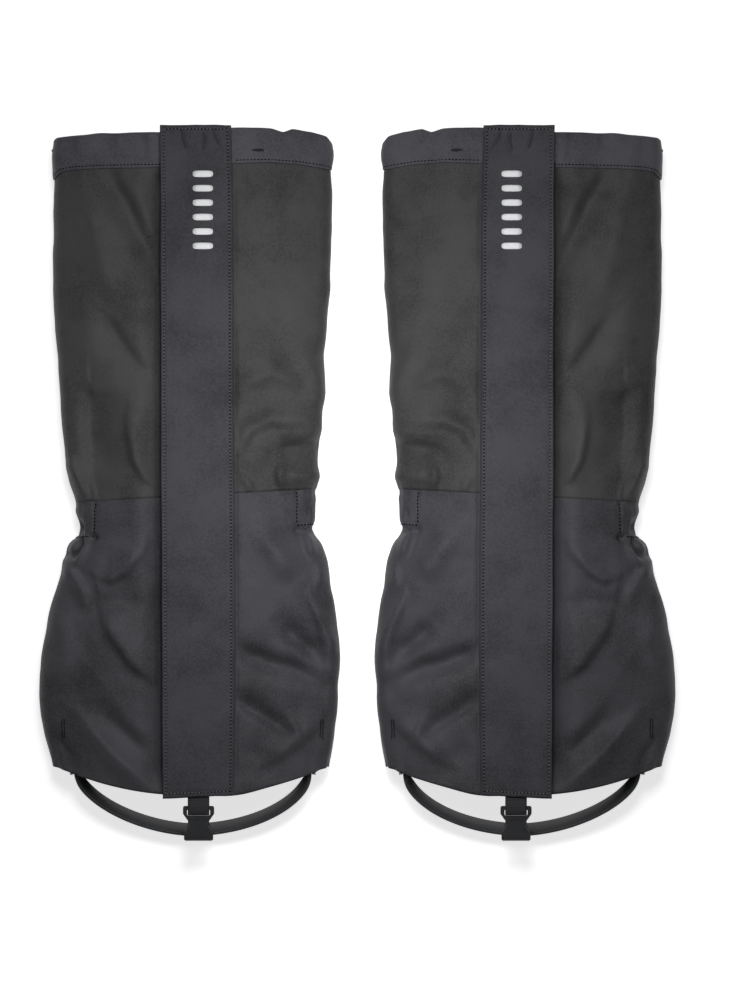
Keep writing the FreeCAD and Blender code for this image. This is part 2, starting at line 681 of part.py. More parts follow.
# ---- assembly -------------------------------------------------------------------------------
PIECES = {
    "upper_panel": upper_panel,
    "lower_panel": lower_panel,
    "top_cuff": top_cuff,
    "cuff_eyelet": cuff_eyelet,
    "ankle_elastic": ankle_elastic,
    "ankle_casing": ankle_casing,
    "hem_facing": hem_facing,
    "loop_tape": loop_tape,
    "hook_tape": hook_tape,
    "flap_lining": flap_lining,
    "flap_outer": flap_outer,
    "reflective_print": reflective_print,
    "hook_webbing_sewn": hook_webbing_sewn,
    "hook_webbing_loop": hook_webbing_loop,
    "lace_hook": lace_hook,
    "underfoot_strap": underfoot_strap,
    "anchor_tab_outer": lambda: anchor_tab(-1),
    "anchor_tab_inner": lambda: anchor_tab(1),
    "anchor_patch_outer": lambda: anchor_patch(-1),
    "anchor_patch_inner": lambda: anchor_patch(1),
    "strap_post_barrels": post_barrels,
    "strap_post_screws": post_screws,
    "drawcord": drawcord,
    "cord_lock_barrel": cord_lock_barrel,
    "cord_lock_plunger": cord_lock_plunger,
    "cord_lock_spring": cord_lock_spring,
    "cord_end_clip": cord_end_clip,
}


def write(name, shape):
    solids = shape.Solids
    sound = shape.isValid() and len(solids) > 0
    bounds = shape.BoundBox
    print("%-28s %d solids %9.1f mm3 %s z %.1f..%.1f" % (
        name, len(solids), shape.Volume, "ok" if sound else "BAD", bounds.ZMin, bounds.ZMax))
    out = solids[0] if len(solids) == 1 else Part.makeCompound(solids)
    out.exportStep("parts/%s.step" % name)


os.makedirs("parts", exist_ok=True)
for piece, build in PIECES.items():
    left_shape = build()
    left_shape.translate(Vector(FLAP_CENTRE_X, 0, 0))
    write("left_" + piece, left_shape)
    write("right_" + piece, left_shape.mirror(Vector(0, 0, 0), Vector(1, 0, 0)))
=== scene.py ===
import math

import bmesh
import bpy
import numpy as np
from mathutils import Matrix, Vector


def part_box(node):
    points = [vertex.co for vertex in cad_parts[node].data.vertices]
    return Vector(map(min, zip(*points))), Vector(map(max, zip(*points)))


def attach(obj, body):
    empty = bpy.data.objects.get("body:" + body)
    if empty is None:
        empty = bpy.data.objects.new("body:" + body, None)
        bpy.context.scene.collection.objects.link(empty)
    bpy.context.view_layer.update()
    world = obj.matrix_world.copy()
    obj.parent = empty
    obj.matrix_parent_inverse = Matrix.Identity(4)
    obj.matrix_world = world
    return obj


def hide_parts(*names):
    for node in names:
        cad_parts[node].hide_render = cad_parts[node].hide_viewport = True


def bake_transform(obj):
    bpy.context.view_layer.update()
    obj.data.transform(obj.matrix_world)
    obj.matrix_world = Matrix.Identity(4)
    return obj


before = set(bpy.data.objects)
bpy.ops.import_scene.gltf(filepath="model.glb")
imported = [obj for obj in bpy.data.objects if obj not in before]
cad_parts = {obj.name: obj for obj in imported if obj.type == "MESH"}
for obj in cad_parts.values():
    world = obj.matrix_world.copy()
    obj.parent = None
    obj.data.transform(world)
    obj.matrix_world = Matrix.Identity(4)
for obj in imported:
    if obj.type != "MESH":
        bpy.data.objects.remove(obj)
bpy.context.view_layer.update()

# A pair of knee-high hiking gaiters, laid flat on their backs.
# Fabric is worked out in millimetres, from the middle line of the left flap
# (x across, y along the leg, z up), and is mirrored for the right gaiter.

MM = 0.001
SIDES = {"left": 1, "right": -1}


def box_mm(name):
    """Lowest and highest corner of a designed piece, in millimetres."""
    return [[c / MM for c in corner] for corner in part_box(name)]


FLAP_LOW, FLAP_HIGH = box_mm("left_flap_outer")
FLAP_X = (FLAP_LOW[0] + FLAP_HIGH[0]) / 2
FLAP_HALF = (FLAP_HIGH[0] - FLAP_LOW[0]) / 2
FLAP_BOTTOM, FLAP_TOP = FLAP_LOW[1], FLAP_HIGH[1]
FLAP_Z = FLAP_HIGH[2]
FRONT_Z = box_mm("left_loop_tape")[0][2]

# ---- shape of the leg tube ----
# y, half widths left and right of the flap's middle line, height of the back
ROWS = [
    (245.0, 93.0, 86.5, 10.0),
    (236.0, 94.0, 88.0, 10.5),
    (222.0, 95.4, 89.3, 11.0),
    (205.0, 96.2, 90.0, 10.6),
    (162.0, 96.4, 89.4, 6.5),
    (132.0, 96.0, 88.6, 2.5),
    (102.0, 94.6, 86.4, 0.2),
    (72.0, 92.0, 84.8, 0.0),
    (42.0, 90.0, 82.2, 0.0),
    (22.0, 88.0, 80.8, 0.0),
    (2.0, 85.2, 80.0, 0.0),
    (-9.0, 82.0, 79.8, 0.3),
    (-18.0, 80.6, 79.8, 0.8),
    (-27.0, 79.4, 78.4, 1.0),
    (-34.0, 79.2, 77.4, 0.8),
    (-39.0, 83.6, 82.0, 0.4),
    (-48.0, 88.2, 86.0, 0.0),
    (-58.0, 90.2, 88.2, 0.0),
    (-68.0, 93.5, 89.6, 0.0),
    (-78.0, 96.9, 91.6, 0.0),
    (-98.0, 101.2, 94.2, 0.0),
    (-118.0, 104.2, 95.0, 0.0),
    (-138.0, 104.8, 94.4, 0.0),
    (-158.0, 103.8, 94.2, 0.0),
    (-175.0, 100.2, 91.4, 0.0),
    (-190.0, 95.4, 87.8, 0.0),
    (-215.0, 88.0, 82.0, 0.0),
]
FLAT_HALF = 26.0
WIDEST_Z = 15.0
SIDE_ARC = 0.55
CUFF_BACK = 8.0
FRONT_DROP, DROP_FROM, DROP_TO = 2.0, 185.0, 209.0
SIDE_POINTS = (40, 12, 16)
BACK_POINTS, LEAD_POINTS, TAIL_POINTS = 80, 27, 4
LEVEL_TOP, LEVEL_BOTTOM = 246.0, -217.0
SLIT = (19.6, 20.4)
SLOPE = 0.055
SEAM_Y = -8.3
CUFF_EDGE = 211.8
CUFF_LOWER = [(-97, 201.5), (-91.4, 207.2), (-85, 208.9), (-64.7, 209.9), (-25.9, 210.5),
              (23.5, 213.2), (49, 213.9), (69, 212.5), (89.6, 209.2)]
CUFF_RIM = [(-96, 229.5), (-94, 230.8), (-79, 232.4), (-55, 233.7), (-26, 234.0), (24, 237.2),
            (42, 236.8), (51, 236.2), (58.5, 233.9), (65, 236.0), (78, 234.5), (87.4, 231.6),
            (90, 228.0)]
ELASTIC_ENDS = (-68.0, 66.8)
HEM = ((-95.0, -189.3), (-3.0, -208.4), (88.5, -189.3))
HEM_SAG = (27.0, 1.7, 17.0)
TACKS = {-1: (-89.4, -164.0), 1: (83.6, -164.3)}
STEP = 1.5
HALF_STEP = 0.35
TINY = 1e-9
FLOOR_GAP = 0.25
ROW_STEP = 2.0


def smooth(t):
    t = np.clip(t, 0.0, 1.0)
    return t * t * (3 - 2 * t)


def between(value, low, high):
    """0 below low, 1 above high, smooth between them."""
    return smooth((value - low) / (high - low))


def rows_at(y):
    """Left width, right width and back height at each y, on one smooth curve."""
    table = np.array(ROWS[::-1])
    knots = table[:, 0]
    out = []
    for column in table[:, 1:].T:
        slope = np.gradient(column, knots)
        i = np.clip(np.searchsorted(knots, y) - 1, 0, len(knots) - 2)
        gap = knots[i + 1] - knots[i]
        t = (y - knots[i]) / gap
        out.append(column[i] * (1 + 2 * t) * (1 - t) ** 2 + slope[i] * gap * t * (1 - t) ** 2
                   + column[i + 1] * t * t * (3 - 2 * t) + slope[i + 1] * gap * t * t * (t - 1))
    return out


def arc(centre, radius, start, end, count):
    turn = np.radians(np.linspace(start, end, count + 1))
    return np.stack([centre[0] + radius * np.cos(turn), centre[1] + radius * np.sin(turn)], 1)


def side_curve(width, back, front):
    """One side, from the flat front round to the flat back."""
    rise = front - WIDEST_Z - max(0.0, back - CUFF_BACK)
    middle = front - rise
    reach = width - FLAT_HALF
    small = SIDE_ARC * rise
    large = (reach ** 2 + rise ** 2 - 2 * reach * small) / (2 * (rise - small))
    low = middle - back
    meet = math.degrees(math.atan2(middle - front + large, reach - small))
    parts = [
        arc((FLAT_HALF, front - large), large, 90, meet, SIDE_POINTS[0]),
        arc((width - small, middle), small, meet, 0, SIDE_POINTS[1])[1:],
        arc((width - low, middle), low, 0, -90, SIDE_POINTS[2])[1:],
    ]
    return np.concatenate(parts)


def front_height(y):
    """The front drops a little into the cuff."""
    return FRONT_Z - FRONT_DROP * between(y, DROP_FROM, DROP_TO)


def section(y):
    """Outline at y: from the left front end, round the back, to the right front end."""
    left, right, back = [float(v[0]) for v in rows_at(np.array([y]))]
    front = float(front_height(np.array([y]))[0])
    left_side = side_curve(left, back, front) * (-1, 1)
    right_side = side_curve(right, back, front)[::-1]
    across = np.linspace(left_side[-1], right_side[0], BACK_POINTS + 2)[1:-1]
    lead = np.linspace((SLIT[0], front), (-FLAT_HALF, front), LEAD_POINTS + 1)[:-1]
    tail = np.linspace((FLAT_HALF, front), (SLIT[1], front), TAIL_POINTS + 1)[1:]
    return np.concatenate([lead, left_side, across, right_side, tail])


def lengths_along(points):
    """How far along its line each point lies."""
    return np.concatenate([[0.0], np.cumsum(np.linalg.norm(np.diff(points, axis=0), axis=1))])


LEVELS = np.arange(LEVEL_TOP, LEVEL_BOTTOM, -STEP)
TABLE = np.array([section(y) for y in LEVELS])
COLUMNS = TABLE.shape[1]
LAST_COLUMN = COLUMNS - 1.01
GIRTH = lengths_along(TABLE[len(LEVELS) // 2])


def outline(column, y):
    """x and z of the plain tube at fractional columns and at y."""
    row = np.clip((LEVELS[0] - y) / STEP, 0, len(LEVELS) - 1.001)
    col = np.clip(column, 0, COLUMNS - 1.001)
    r, c = row.astype(int), col.astype(int)
    fr, fc = (row - r)[..., None], (col - c)[..., None]
    top = TABLE[r, c] * (1 - fc) + TABLE[r, c + 1] * fc
    low = TABLE[r + 1, c] * (1 - fc) + TABLE[r + 1, c + 1] * fc
    return top * (1 - fr) + low * fr


def tangent(column, y):
    """Direction in which the plain tube's outline runs."""
    along = outline(column + HALF_STEP, y) - outline(column - HALF_STEP, y)
    return along / np.maximum(np.linalg.norm(along, axis=-1, keepdims=True), TINY)


def x_at(columns, y):
    return outline(columns, np.full(len(columns), float(y)))[:, 0]


def girth_at(column):
    return np.interp(column, np.arange(COLUMNS), GIRTH)


# ---- folds and wrinkles ----
# points of the fold's line (x, y), half width (or its left and right half widths,
# seen along the line), and height (a valley is below 0)
UPPER_FOLDS = [
    ([(-62, 208), (-48, 187), (-37, 163), (-30, 142)], (6.0, 9.0), -3.4),
    ([(-74, 192), (-66, 160), (-54, 124)], 9.0, 2.1),
    ([(-63, 112), (-48, 90), (-30, 66)], (5.0, 11.0), -1.9),
    ([(-80, 150), (-72, 110), (-66, 70)], 11.0, 1.3),
    ([(-45.7, 46), (-43.3, 26.2), (-40.9, 14.9), (-34.5, 3.7), (-26.4, -1.4)], (6.5, 2.6), 2.2),
    ([(-72, 64), (-72, 34), (-69, 2)], (17.0, 5.0), -2.8),
    ([(-83.3, 18.2), (-80.9, 10.1), (-77.7, 2.1), (-72.9, -9.1)], (2.0, 4.5), 1.9),
    ([(-84, 66), (-70, 56), (-52, 58)], (4.0, 9.0), -1.0),
    ([(25, 203), (39, 189)], 5.0, -1.0),
    ([(28, 150), (45, 110), (60, 92)], 12.0, -1.2),
    ([(70, 90), (78, 70), (82, 48)], 7.0, 1.6),
    ([(26, 20), (36, 36), (50, 42), (66, 38)], (7.0, 4.0), -2.0),
    ([(52, 37), (66, 35), (82, 37)], 6.0, 1.5),
    ([(52, 21), (64, 23.5), (84, 27)], (3.6, 7.0), -2.1),
    ([(57, 5), (67, 4.5), (82, 5)], 6.0, 1.9),
    ([(55.3, 13.7), (53.7, 4.5), (56.1, -4.5)], (5.0, 1.6), 1.7),
    ([(31.3, 4.1), (37.7, -5.3)], 3.0, 1.1),
    ([(30, 64), (50, 74), (72, 64)], (9.0, 5.0), 1.5),
]
LOWER_FOLDS = [
    ([(-79.3, -12.3), (-79.7, -18.7), (-77.7, -28.3), (-76.1, -35)], 1.7, -2.2),
    ([(-79.3, -35.3), (-77, -41.2), (-80.9, -47.6), (-87, -48)], 2.3, -3.0),
    ([(-72, -35), (-70, -37.5), (-66, -37)], 1.8, -2.0),
    ([(-73.5, -39), (-77.5, -50), (-82, -58)], (2.0, 5.0), 1.8),
    ([(-64.9, -62), (-56.9, -64.4), (-47.3, -58.8), (-40.9, -50.8), (-36.1, -45.2)],
     (8.0, 2.6), 2.2),
    ([(-87.4, -52.4), (-80.9, -62), (-75.3, -71.6), (-74.5, -80)], (2.4, 5.0), 1.8),
    ([(-72, -84), (-50, -80), (-32, -84)], 8.0, -1.4),
    ([(-64, -78), (-57, -98), (-42, -120), (-24, -134)], (15.0, 3.5), 2.4),
    ([(-92, -78), (-88, -110), (-92, -140)], 8.0, 1.4),
    ([(-81, -152), (-56, -180), (-31, -203)], (4.0, 8.0), 2.0),
    ([(-65, -152), (-48, -168), (-31, -184)], 7.0, -2.2),
    ([(-97, -165), (-82, -184)], (3.0, 7.0), -1.3),
    ([(74.6, -13.9), (75.4, -27.7)], 1.3, -1.8),
    ([(70.6, -30.7), (73, -38), (74.6, -44.4), (77, -50)], (5.0, 1.8), 2.0),
    ([(66, -31.5), (71, -32.5), (76, -30)], 1.5, -1.6),
    ([(42, -31), (51, -44), (59, -56), (66, -65)], (8.0, 9.0), 2.6),
    ([(56, -94), (69, -105), (84, -117)], (6.5, 6.0), -3.0),
    ([(75, -74), (78, -84), (82.5, -94.5), (86, -106), (87, -124)], (6.0, 2.6), 2.4),
    ([(81, -56), (79.5, -70)], (4.0, 2.0), 1.0),
    ([(22, -108), (34, -114), (50, -120), (64, -123), (74, -128), (84, -136)],
     (6.0, 8.0), -3.2),
    ([(22, -141), (42, -154), (66, -168)], (7.0, 4.0), -2.4),
    ([(62, -156), (69, -172)], (2.5, 5.0), 1.6),
    ([(82, -158), (66, -172), (48, -186)], (4.0, 7.0), 1.9),
    ([(30, -172), (44, -186), (52, -198)], 7.0, -1.1),
]
BACK_FOLDS = [
    ([(-70, 30), (-20, 12), (40, 26), (70, 14)], 9.0, -2.0),
    ([(-60, -50), (0, -62), (64, -52)], 9.0, -2.2),
    ([(-40, 150), (-10, 90), (-30, 40)], 12.0, -1.6),
    ([(50, 160), (30, 100), (44, 50)], 12.0, -1.6),
    ([(-70, -150), (-20, -120), (10, -80)], 12.0, -1.8),
    ([(70, -160), (40, -120), (46, -84)], 11.0, -1.6),
]
FOLD_GAIN = 2.1
FOLD_TURN = 0.8
FADE_IN, FADE_OUT = (-0.02, 0.3), (0.7, 1.02)
END_SHARE = 0.35
# height, seed, length and stretch of the swell over the whole body
SWELLS = [(0.55, 3, 62.0, 1.7), (0.28, 5, 27.0, 1.5), (0.10, 7, 11.0, 1.3)]
# reach, height, length and seed of the small gathers beside each seam
CUFF_PUCKERS = (9.0, 0.55, 12.5, 11)
SEAM_PUCKERS = (4.0, 0.22, 7.0, 15)
HEM_PUCKERS = (8.0, 0.9, 9.0, 17)
HEM_MIDDLE, HEM_HALF = -3.0, 92.0
HEM_CORNERS = (62, 84)
# the ankle elastic's band: where it starts and ends, measured up from the ankle seam
BAND_FOOT, BAND_HEAD = (-25.5, -23.0), (-2.5, -0.5)
PILLOW_FOOT, PILLOW_HEAD = (-25.5, -20.0), (-7.0, -1.0)
PILLOW = 1.7
PINCH, PINCH_AT, PINCH_REACH = -1.4, -12.5, 14.0
RIB_HEIGHT, RIB_LOSS, RIB_PITCH = 0.7, 0.5, 5.6
TUCK_PITCH = 11.5
TUCKS_BELOW, BELOW_REACH = 1.8, 9.0
TUCKS_ABOVE, ABOVE_REACH = 1.0, 10.0
STITCH_DENT = 0.7
# the dip of the front edge under the flap, and the crease beside the sewn fold
UNDERLAP_DIP = 7.0
UNDERLAP_REACH = 8.5
UNDERLAP_TUCK = 5.0
CREASE_X, CREASE_DEPTH, CREASE_WIDTH = 1.0, 1.4, 1.3
DIP_FOOT, DIP_HEAD = (-205.0, -190.0), (196.0, 214.0)
FLAP_LEFT_TOP, FLAP_LEFT_BOTTOM = -24.3, -22.6


def fold(x, y, points, half, height):
    """A soft fold along a bent line, fading out at both ends."""
    left_half, right_half = half if isinstance(half, tuple) else (half, half)
    best = np.full(x.shape, 1e9)
    where = np.zeros(x.shape)
    across = np.zeros(x.shape)
    places = np.array(points, float)
    lengths = np.linalg.norm(np.diff(places, axis=0), axis=1)
    total, done = lengths.sum(), 0.0
    for a, b, length in zip(places, places[1:], lengths):
        way = (b - a) / length
        t = np.clip(((x - a[0]) * way[0] + (y - a[1]) * way[1]) / length, 0, 1)
        gap = np.hypot(x - a[0] - way[0] * t * length, y - a[1] - way[1] * t * length)
        near = gap < best
        best = np.where(near, gap, best)
        where = np.where(near, (done + t * length) / total, where)
        across = np.where(near, way[0] * (y - a[1]) - way[1] * (x - a[0]), across)
        done += length
    to_left = between(across, -FOLD_TURN, FOLD_TURN)
    width = left_half * to_left + right_half * (1 - to_left)
    fade = between(where, *FADE_IN) * (1 - between(where, *FADE_OUT))
    return height * np.exp(-(best / width) ** 2) * (END_SHARE + (1 - END_SHARE) * fade)


def waves(u, v, seed, length, stretch=1.0, count=7):
    """Smooth, uneven swell from a few sine waves of about one length."""
    rng = np.random.default_rng(seed)
    total = np.zeros(np.broadcast(u, v).shape)
    for _ in range(count):
        turn = rng.uniform(0, math.pi)
        size = length * rng.uniform(0.6, 1.6)
        phase = rng.uniform(0, 2 * math.pi)
        along = u * math.cos(turn) + v * math.sin(turn) / stretch
        total += np.sin(2 * math.pi * along / size + phase)
    return total / math.sqrt(count)


def puckers(girth, distance, reach, height, length, seed):
    """Small gathers that stand across a seam and fade away from it."""
    drift = 2.0 * waves(girth, distance * 0.3, seed, 40.0)
    fade = np.exp(-np.abs(distance) / reach)
    uneven = 0.55 + 0.45 * waves(girth, 0 * girth, seed + 1, 35.0)
    return height * fade * uneven * np.sin(2 * math.pi * (girth + drift) / length)


def seam_line(x):
    return SEAM_Y + SLOPE * x


def ankle_gathers(x, y, girth, front):
    """The pull of the ankle elastic: tight ribs in the band, tucks beside it."""
    d = y - seam_line(x)
    first, last = ELASTIC_ENDS
    free = between(x, first - 1, first + 3) * (1 - between(x, last - 3, last + 1)) * front
    inside = between(d, *BAND_FOOT) * (1 - between(d, *BAND_HEAD))
    rib_turn = 2 * math.pi * (girth + 1.2 * waves(girth, d, 31, 25.0)) / RIB_PITCH
    ribs = (RIB_HEIGHT - RIB_LOSS * front) * np.sin(rib_turn)
    pillow = between(d, *PILLOW_FOOT) * (1 - between(d, *PILLOW_HEAD)) * front
    pinch = PINCH * np.exp(-((d - PINCH_AT) / PINCH_REACH) ** 2) + PILLOW * pillow
    below = TUCKS_BELOW * np.exp(-np.abs(d + 25.0) / BELOW_REACH) * between(-d, 22, 28)
    above = TUCKS_ABOVE * np.exp(-np.abs(d) / ABOVE_REACH) * between(d, -2, 2)
    tuck_turn = 2 * math.pi * (girth + 2.5 * waves(girth, d, 33, 30.0)) / TUCK_PITCH
    tucks = (below + above) * (1 - 0.6 * front) * np.sin(tuck_turn)
    return (1 - free) * (inside * ribs + pinch + tucks)


def relief(x, y, girth, front):
    """How far the fabric stands out of the plain tube; front is 1 on the front layer."""
    back = 1 - front
    edge_calm = between(np.abs(x), FLAP_HALF - 4, FLAP_HALF + 8) * front + back
    total = np.zeros(x.shape)
    d = y - seam_line(x)
    for folds, here in ((UPPER_FOLDS, between(d, -6, 3)), (LOWER_FOLDS, between(-d, 8, 18))):
        for crease in folds:
            total += FOLD_GAIN * fold(x, y, *crease) * here * front
    for crease in BACK_FOLDS:
        total += fold(x, y, *crease) * back
    for height, seed, length, stretch in SWELLS:
        total += height * waves(x, y, seed, length, stretch)
    total += puckers(girth, y - (CUFF_EDGE + SLOPE * x), *CUFF_PUCKERS)
    total += ankle_gathers(x, y, girth, front)
    total += puckers(girth, d, *SEAM_PUCKERS)
    hem_gap = y - (HEM[1][1] + (HEM[0][1] - HEM[1][1]) * ((x - HEM_MIDDLE) / HEM_HALF) ** 2)
    total += puckers(girth, hem_gap, *HEM_PUCKERS) * between(np.abs(x), *HEM_CORNERS)
    in_band = between(d, -25.0, -23.0) * (1 - between(d, -1.0, 0.0)) * front
    for end in ELASTIC_ENDS:
        total -= STITCH_DENT * np.exp(-(x - end) ** 2) * in_band
    past = FLAP_LEFT_TOP - x
    dip = -UNDERLAP_DIP * np.exp(-(np.maximum(past, 0.0) / UNDERLAP_REACH) ** 2) * front
    dip = dip * between(past, -UNDERLAP_TUCK, 0.0)
    beside = (x - flap_right(y) - CREASE_X) / CREASE_WIDTH
    dip = dip - CREASE_DEPTH * np.exp(-beside ** 2) * front
    return total * edge_calm + dip * between(y, *DIP_FOOT) * (1 - between(y, *DIP_HEAD))


def body_surface(column, y, inset=0.0, calm=1.0):
    """Points of the wrinkled fabric body at fractional columns and at y."""
    flat = outline(column, y)
    along = tangent(column, y)
    normal = np.stack([along[..., 1], -along[..., 0]], -1)
    front = between(normal[..., 1], -0.25, 0.25)
    out = relief(flat[..., 0], y, girth_at(column), front) * calm - inset
    out = np.where(normal[..., 1] < -0.2, np.minimum(out, -inset), out)
    x = flat[..., 0] + normal[..., 0] * out
    z = np.maximum(flat[..., 1] + normal[..., 1] * out, FLOOR_GAP + max(inset, 0.0))
    return np.stack([x, y, z], -1)


# ---- making meshes ----
def to_frame(points, side):
    """Millimetres about the flap's middle line to metres in the row frame."""
    out = np.array(points, float).reshape(-1, 3) * MM
    out[:, 0] = SIDES[side] * (out[:, 0] + FLAP_X * MM)
    return out


def add_object(name, data):
    made = bpy.data.objects.new(name, data)
    bpy.context.collection.objects.link(made)
    return made


def face_outwards(mesh):
    """Turn the faces of closed bodies outwards."""
    work = bmesh.new()
    work.from_mesh(mesh)
    bmesh.ops.recalc_face_normals(work, faces=work.faces)
    work.to_mesh(mesh)
    work.free()


def add_mesh(name, points, faces, side, material, uv=None, closed=False):
    """Mesh object from points in millimetres; the right gaiter's faces are turned round."""
    if SIDES[side] < 0:
        faces = [tuple(reversed(face)) for face in faces]
    mesh = bpy.data.meshes.new(side + "_" + name)
    mesh.from_pydata(to_frame(points, side).tolist(), [], faces)
    if uv is not None:
        layer = mesh.uv_layers.new(name="weave")
        loops = np.empty(len(mesh.loops), int)
        mesh.loops.foreach_get("vertex_index", loops)
        layer.data.foreach_set("uv", (np.array(uv, float).reshape(-1, 2)[loops] * MM).ravel())
    if closed:
        face_outwards(mesh)
    mesh.polygons.foreach_set("use_smooth", [True] * len(mesh.polygons))
    mesh.materials.append(material)
    piece = add_object(side + "_" + name, mesh)
    return piece


def grid_faces(rows, columns):
    """Quads of a grid, facing up when rows run down the leg and columns run to the right."""
    quads = []
    for r in range(rows - 1):
        for c in range(columns - 1):
            a = r * columns + c
            quads.append((a, a + columns, a + columns + 1, a + 1))
    return quads


def rod_faces(rings, sides):
    """Faces of a closed rod: its rings joined in order, and both ends."""
    faces = []
    for ring in range(rings - 1):
        for step in range(sides):
            a, b = ring * sides + step, ring * sides + (step + 1) % sides
            faces.append((a, b, b + sides, a + sides))
    faces.append(tuple(reversed(range(sides))))
    faces.append(tuple((rings - 1) * sides + step for step in range(sides)))
    return faces


def thicken(piece, thickness, offset=-1.0):
    solid = piece.modifiers.new("thickness", "SOLIDIFY")
    solid.thickness = thickness * MM
    solid.offset = offset
    solid.use_even_offset = False


def cloth(name, side, material, points, thickness, uv=None, offset=-1.0, turned=False):
    """A grid of points as thick cloth, in place of the solid of that name."""
    faces = grid_faces(len(points), len(points[0]))
    if turned:
        faces = [face[::-1] for face in faces]
    piece = add_mesh(name, points, faces, side, material, uv)
    thicken(piece, thickness, offset)
    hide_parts(side + "_" + name)
    return piece


def along_line(line, columns, x):
    """y of a line over the columns, whose x changes a little with y."""
    there = outline(columns, np.array([line(v) for v in x]))[:, 0]
    return np.array([line(v) for v in there])


def body_grid(name, side, material, top, bottom, ends, inset, thickness):
    """A strip of the fabric body between y = top(x) and y = bottom(x), in place of its solid."""
    first, last = ends
    columns = np.arange(first, last + TINY)
    x = x_at(columns, (top(0.0) + bottom(0.0)) / 2)
    for _ in range(3):
        high, low = [along_line(line, columns, x) for line in (top, bottom)]
    count = max(3, int((high - low).max() / ROW_STEP) + 1)
    share = np.linspace(0, 1, count)[:, None]
    y = high[None, :] * (1 - share) + low[None, :] * share
    column = np.broadcast_to(columns, y.shape)
    uv = np.stack([girth_at(column), y], -1)
    return cloth(name, side, material, body_surface(column, y, inset), thickness, uv, turned=True)


def hem_y(x):
    """The curved hem: an arc through its three points, a little lower beside the flap."""
    (x0, y0), (x1, y1), (x2, y2) = HEM
    half = (x2 - x0) / 2
    rise = (y0 + y2) / 2 - y1
    radius = (half ** 2 + rise ** 2) / (2 * rise)
    middle = (x0 + x2) / 2
    inside = max(radius ** 2 - (min(abs(x - middle), half)) ** 2, 0.0)
    sag = HEM_SAG[1] * math.exp(-((x - HEM_SAG[0]) / HEM_SAG[2]) ** 2)
    return (y0 + y2) / 2 - rise + radius - math.sqrt(inside) - sag


def cuff_line(x):
    return np.interp(x, *zip(*CUFF_LOWER))


def rim_line(x):
    return np.interp(x, *zip(*CUFF_RIM))


def shifted(line, offset):
    return lambda x: line(x) + offset


# ---- materials ----
WAVE_SHARE = 3.2


def new_material(name):
    material = bpy.data.materials.new(name)
    material.use_nodes = True
    tree = material.node_tree
    return material, tree, tree.nodes["Principled BSDF"]


def node(tree, kind, **values):
    made = tree.nodes.new("ShaderNode" + kind)
    for key, value in values.items():
        if hasattr(made, key):
            setattr(made, key, value)
        else:
            made.inputs[key].default_value = value
    return made


def uneven_colour(tree, source, colour, spread, low=0.3, high=0.7):
    """The colour, from a little darker to a little lighter, as the source rises."""
    ramp = node(tree, "ValToRGB")
    stops = ramp.color_ramp.elements
    for stop, place, share in ((stops[0], low, 1 - spread), (stops[1], high, 1 + spread)):
        stop.position = place
        stop.color = (*(c * share for c in colour), 1)
    tree.links.new(source, ramp.inputs["Fac"])
    return ramp.outputs["Color"]


def bump(tree, source, strength, distance, below=None):
    made = node(tree, "Bump", Strength=strength, Distance=distance)
    tree.links.new(source, made.inputs["Height"])
    if below is not None:
        tree.links.new(below, made.inputs["Normal"])
    return made.outputs["Normal"]


def noise(tree, place, scale, detail, roughness=0.5):
    made = node(tree, "TexNoise", Scale=scale, Detail=detail, Roughness=roughness)
    tree.links.new(place.outputs["Object"], made.inputs["Vector"])
    return made.outputs["Fac"]


def bands(tree, vector, pitch, direction, distortion):
    """Ribs at one pitch, in millimetres."""
    made = node(tree, "TexWave", wave_type="BANDS", bands_direction=direction,
                Scale=0.5 / (pitch * MM) / WAVE_SHARE, Distortion=distortion)
    tree.links.new(vector, made.inputs["Vector"])
    return made


def multiply_add(tree, value, share, more):
    made = node(tree, "Math", operation="MULTIPLY_ADD")
    made.inputs[1].default_value = share
    tree.links.new(value, made.inputs[0])
    tree.links.new(more, made.inputs[2])
    return made.outputs["Value"]


def set_inputs(shader, **values):
    for key, value in values.items():
        shader.inputs[key.replace("_", " ")].default_value = value


def fabric(name, colour, thread=0.45, roughness=0.62, sheen=0.15, relief_share=1.0, spread=0.34):
    """Plain weave: threads both ways, slubs, faint creases and uneven dye."""
    material, tree, shader = new_material(name)
    coords = node(tree, "UVMap", uv_map="weave")
    place = node(tree, "TexCoord")
    weave = node(tree, "Math", operation="MULTIPLY")
    for number, turn in enumerate((0.0, math.pi / 2)):
        mapping = node(tree, "Mapping", Rotation=(0, 0, turn))
        tree.links.new(coords.outputs["UV"], mapping.inputs["Vector"])
        threads = bands(tree, mapping.outputs["Vector"], thread, "X", 1.2)
        set_inputs(threads, Detail=1.0, Detail_Scale=1.5)
        tree.links.new(threads.outputs["Fac"], weave.inputs[number])
    grain = noise(tree, place, 780.0, 3.0, 0.7)
    cloud = noise(tree, place, 22.0, 5.0, 0.6)
    crease = noise(tree, place, 150.0, 3.0, 0.55)
    both = multiply_add(tree, weave.outputs["Value"], 0.4, grain)
    mixed = multiply_add(tree, both, 0.75, cloud)
    dye = uneven_colour(tree, mixed, colour, spread, 0.72, 1.20)
    tree.links.new(dye, shader.inputs["Base Color"])
    wide = bump(tree, crease, 0.25 * relief_share, 0.0012)
    fine = bump(tree, grain, 0.5 * relief_share, 0.0004, wide)
    last = bump(tree, weave.outputs["Value"], 0.22 * relief_share, 0.00012, fine)
    tree.links.new(last, shader.inputs["Normal"])
    set_inputs(shader, Roughness=roughness, Sheen_Weight=sheen * 0.4, Sheen_Roughness=0.5,
               Specular_IOR_Level=0.14)
    return material


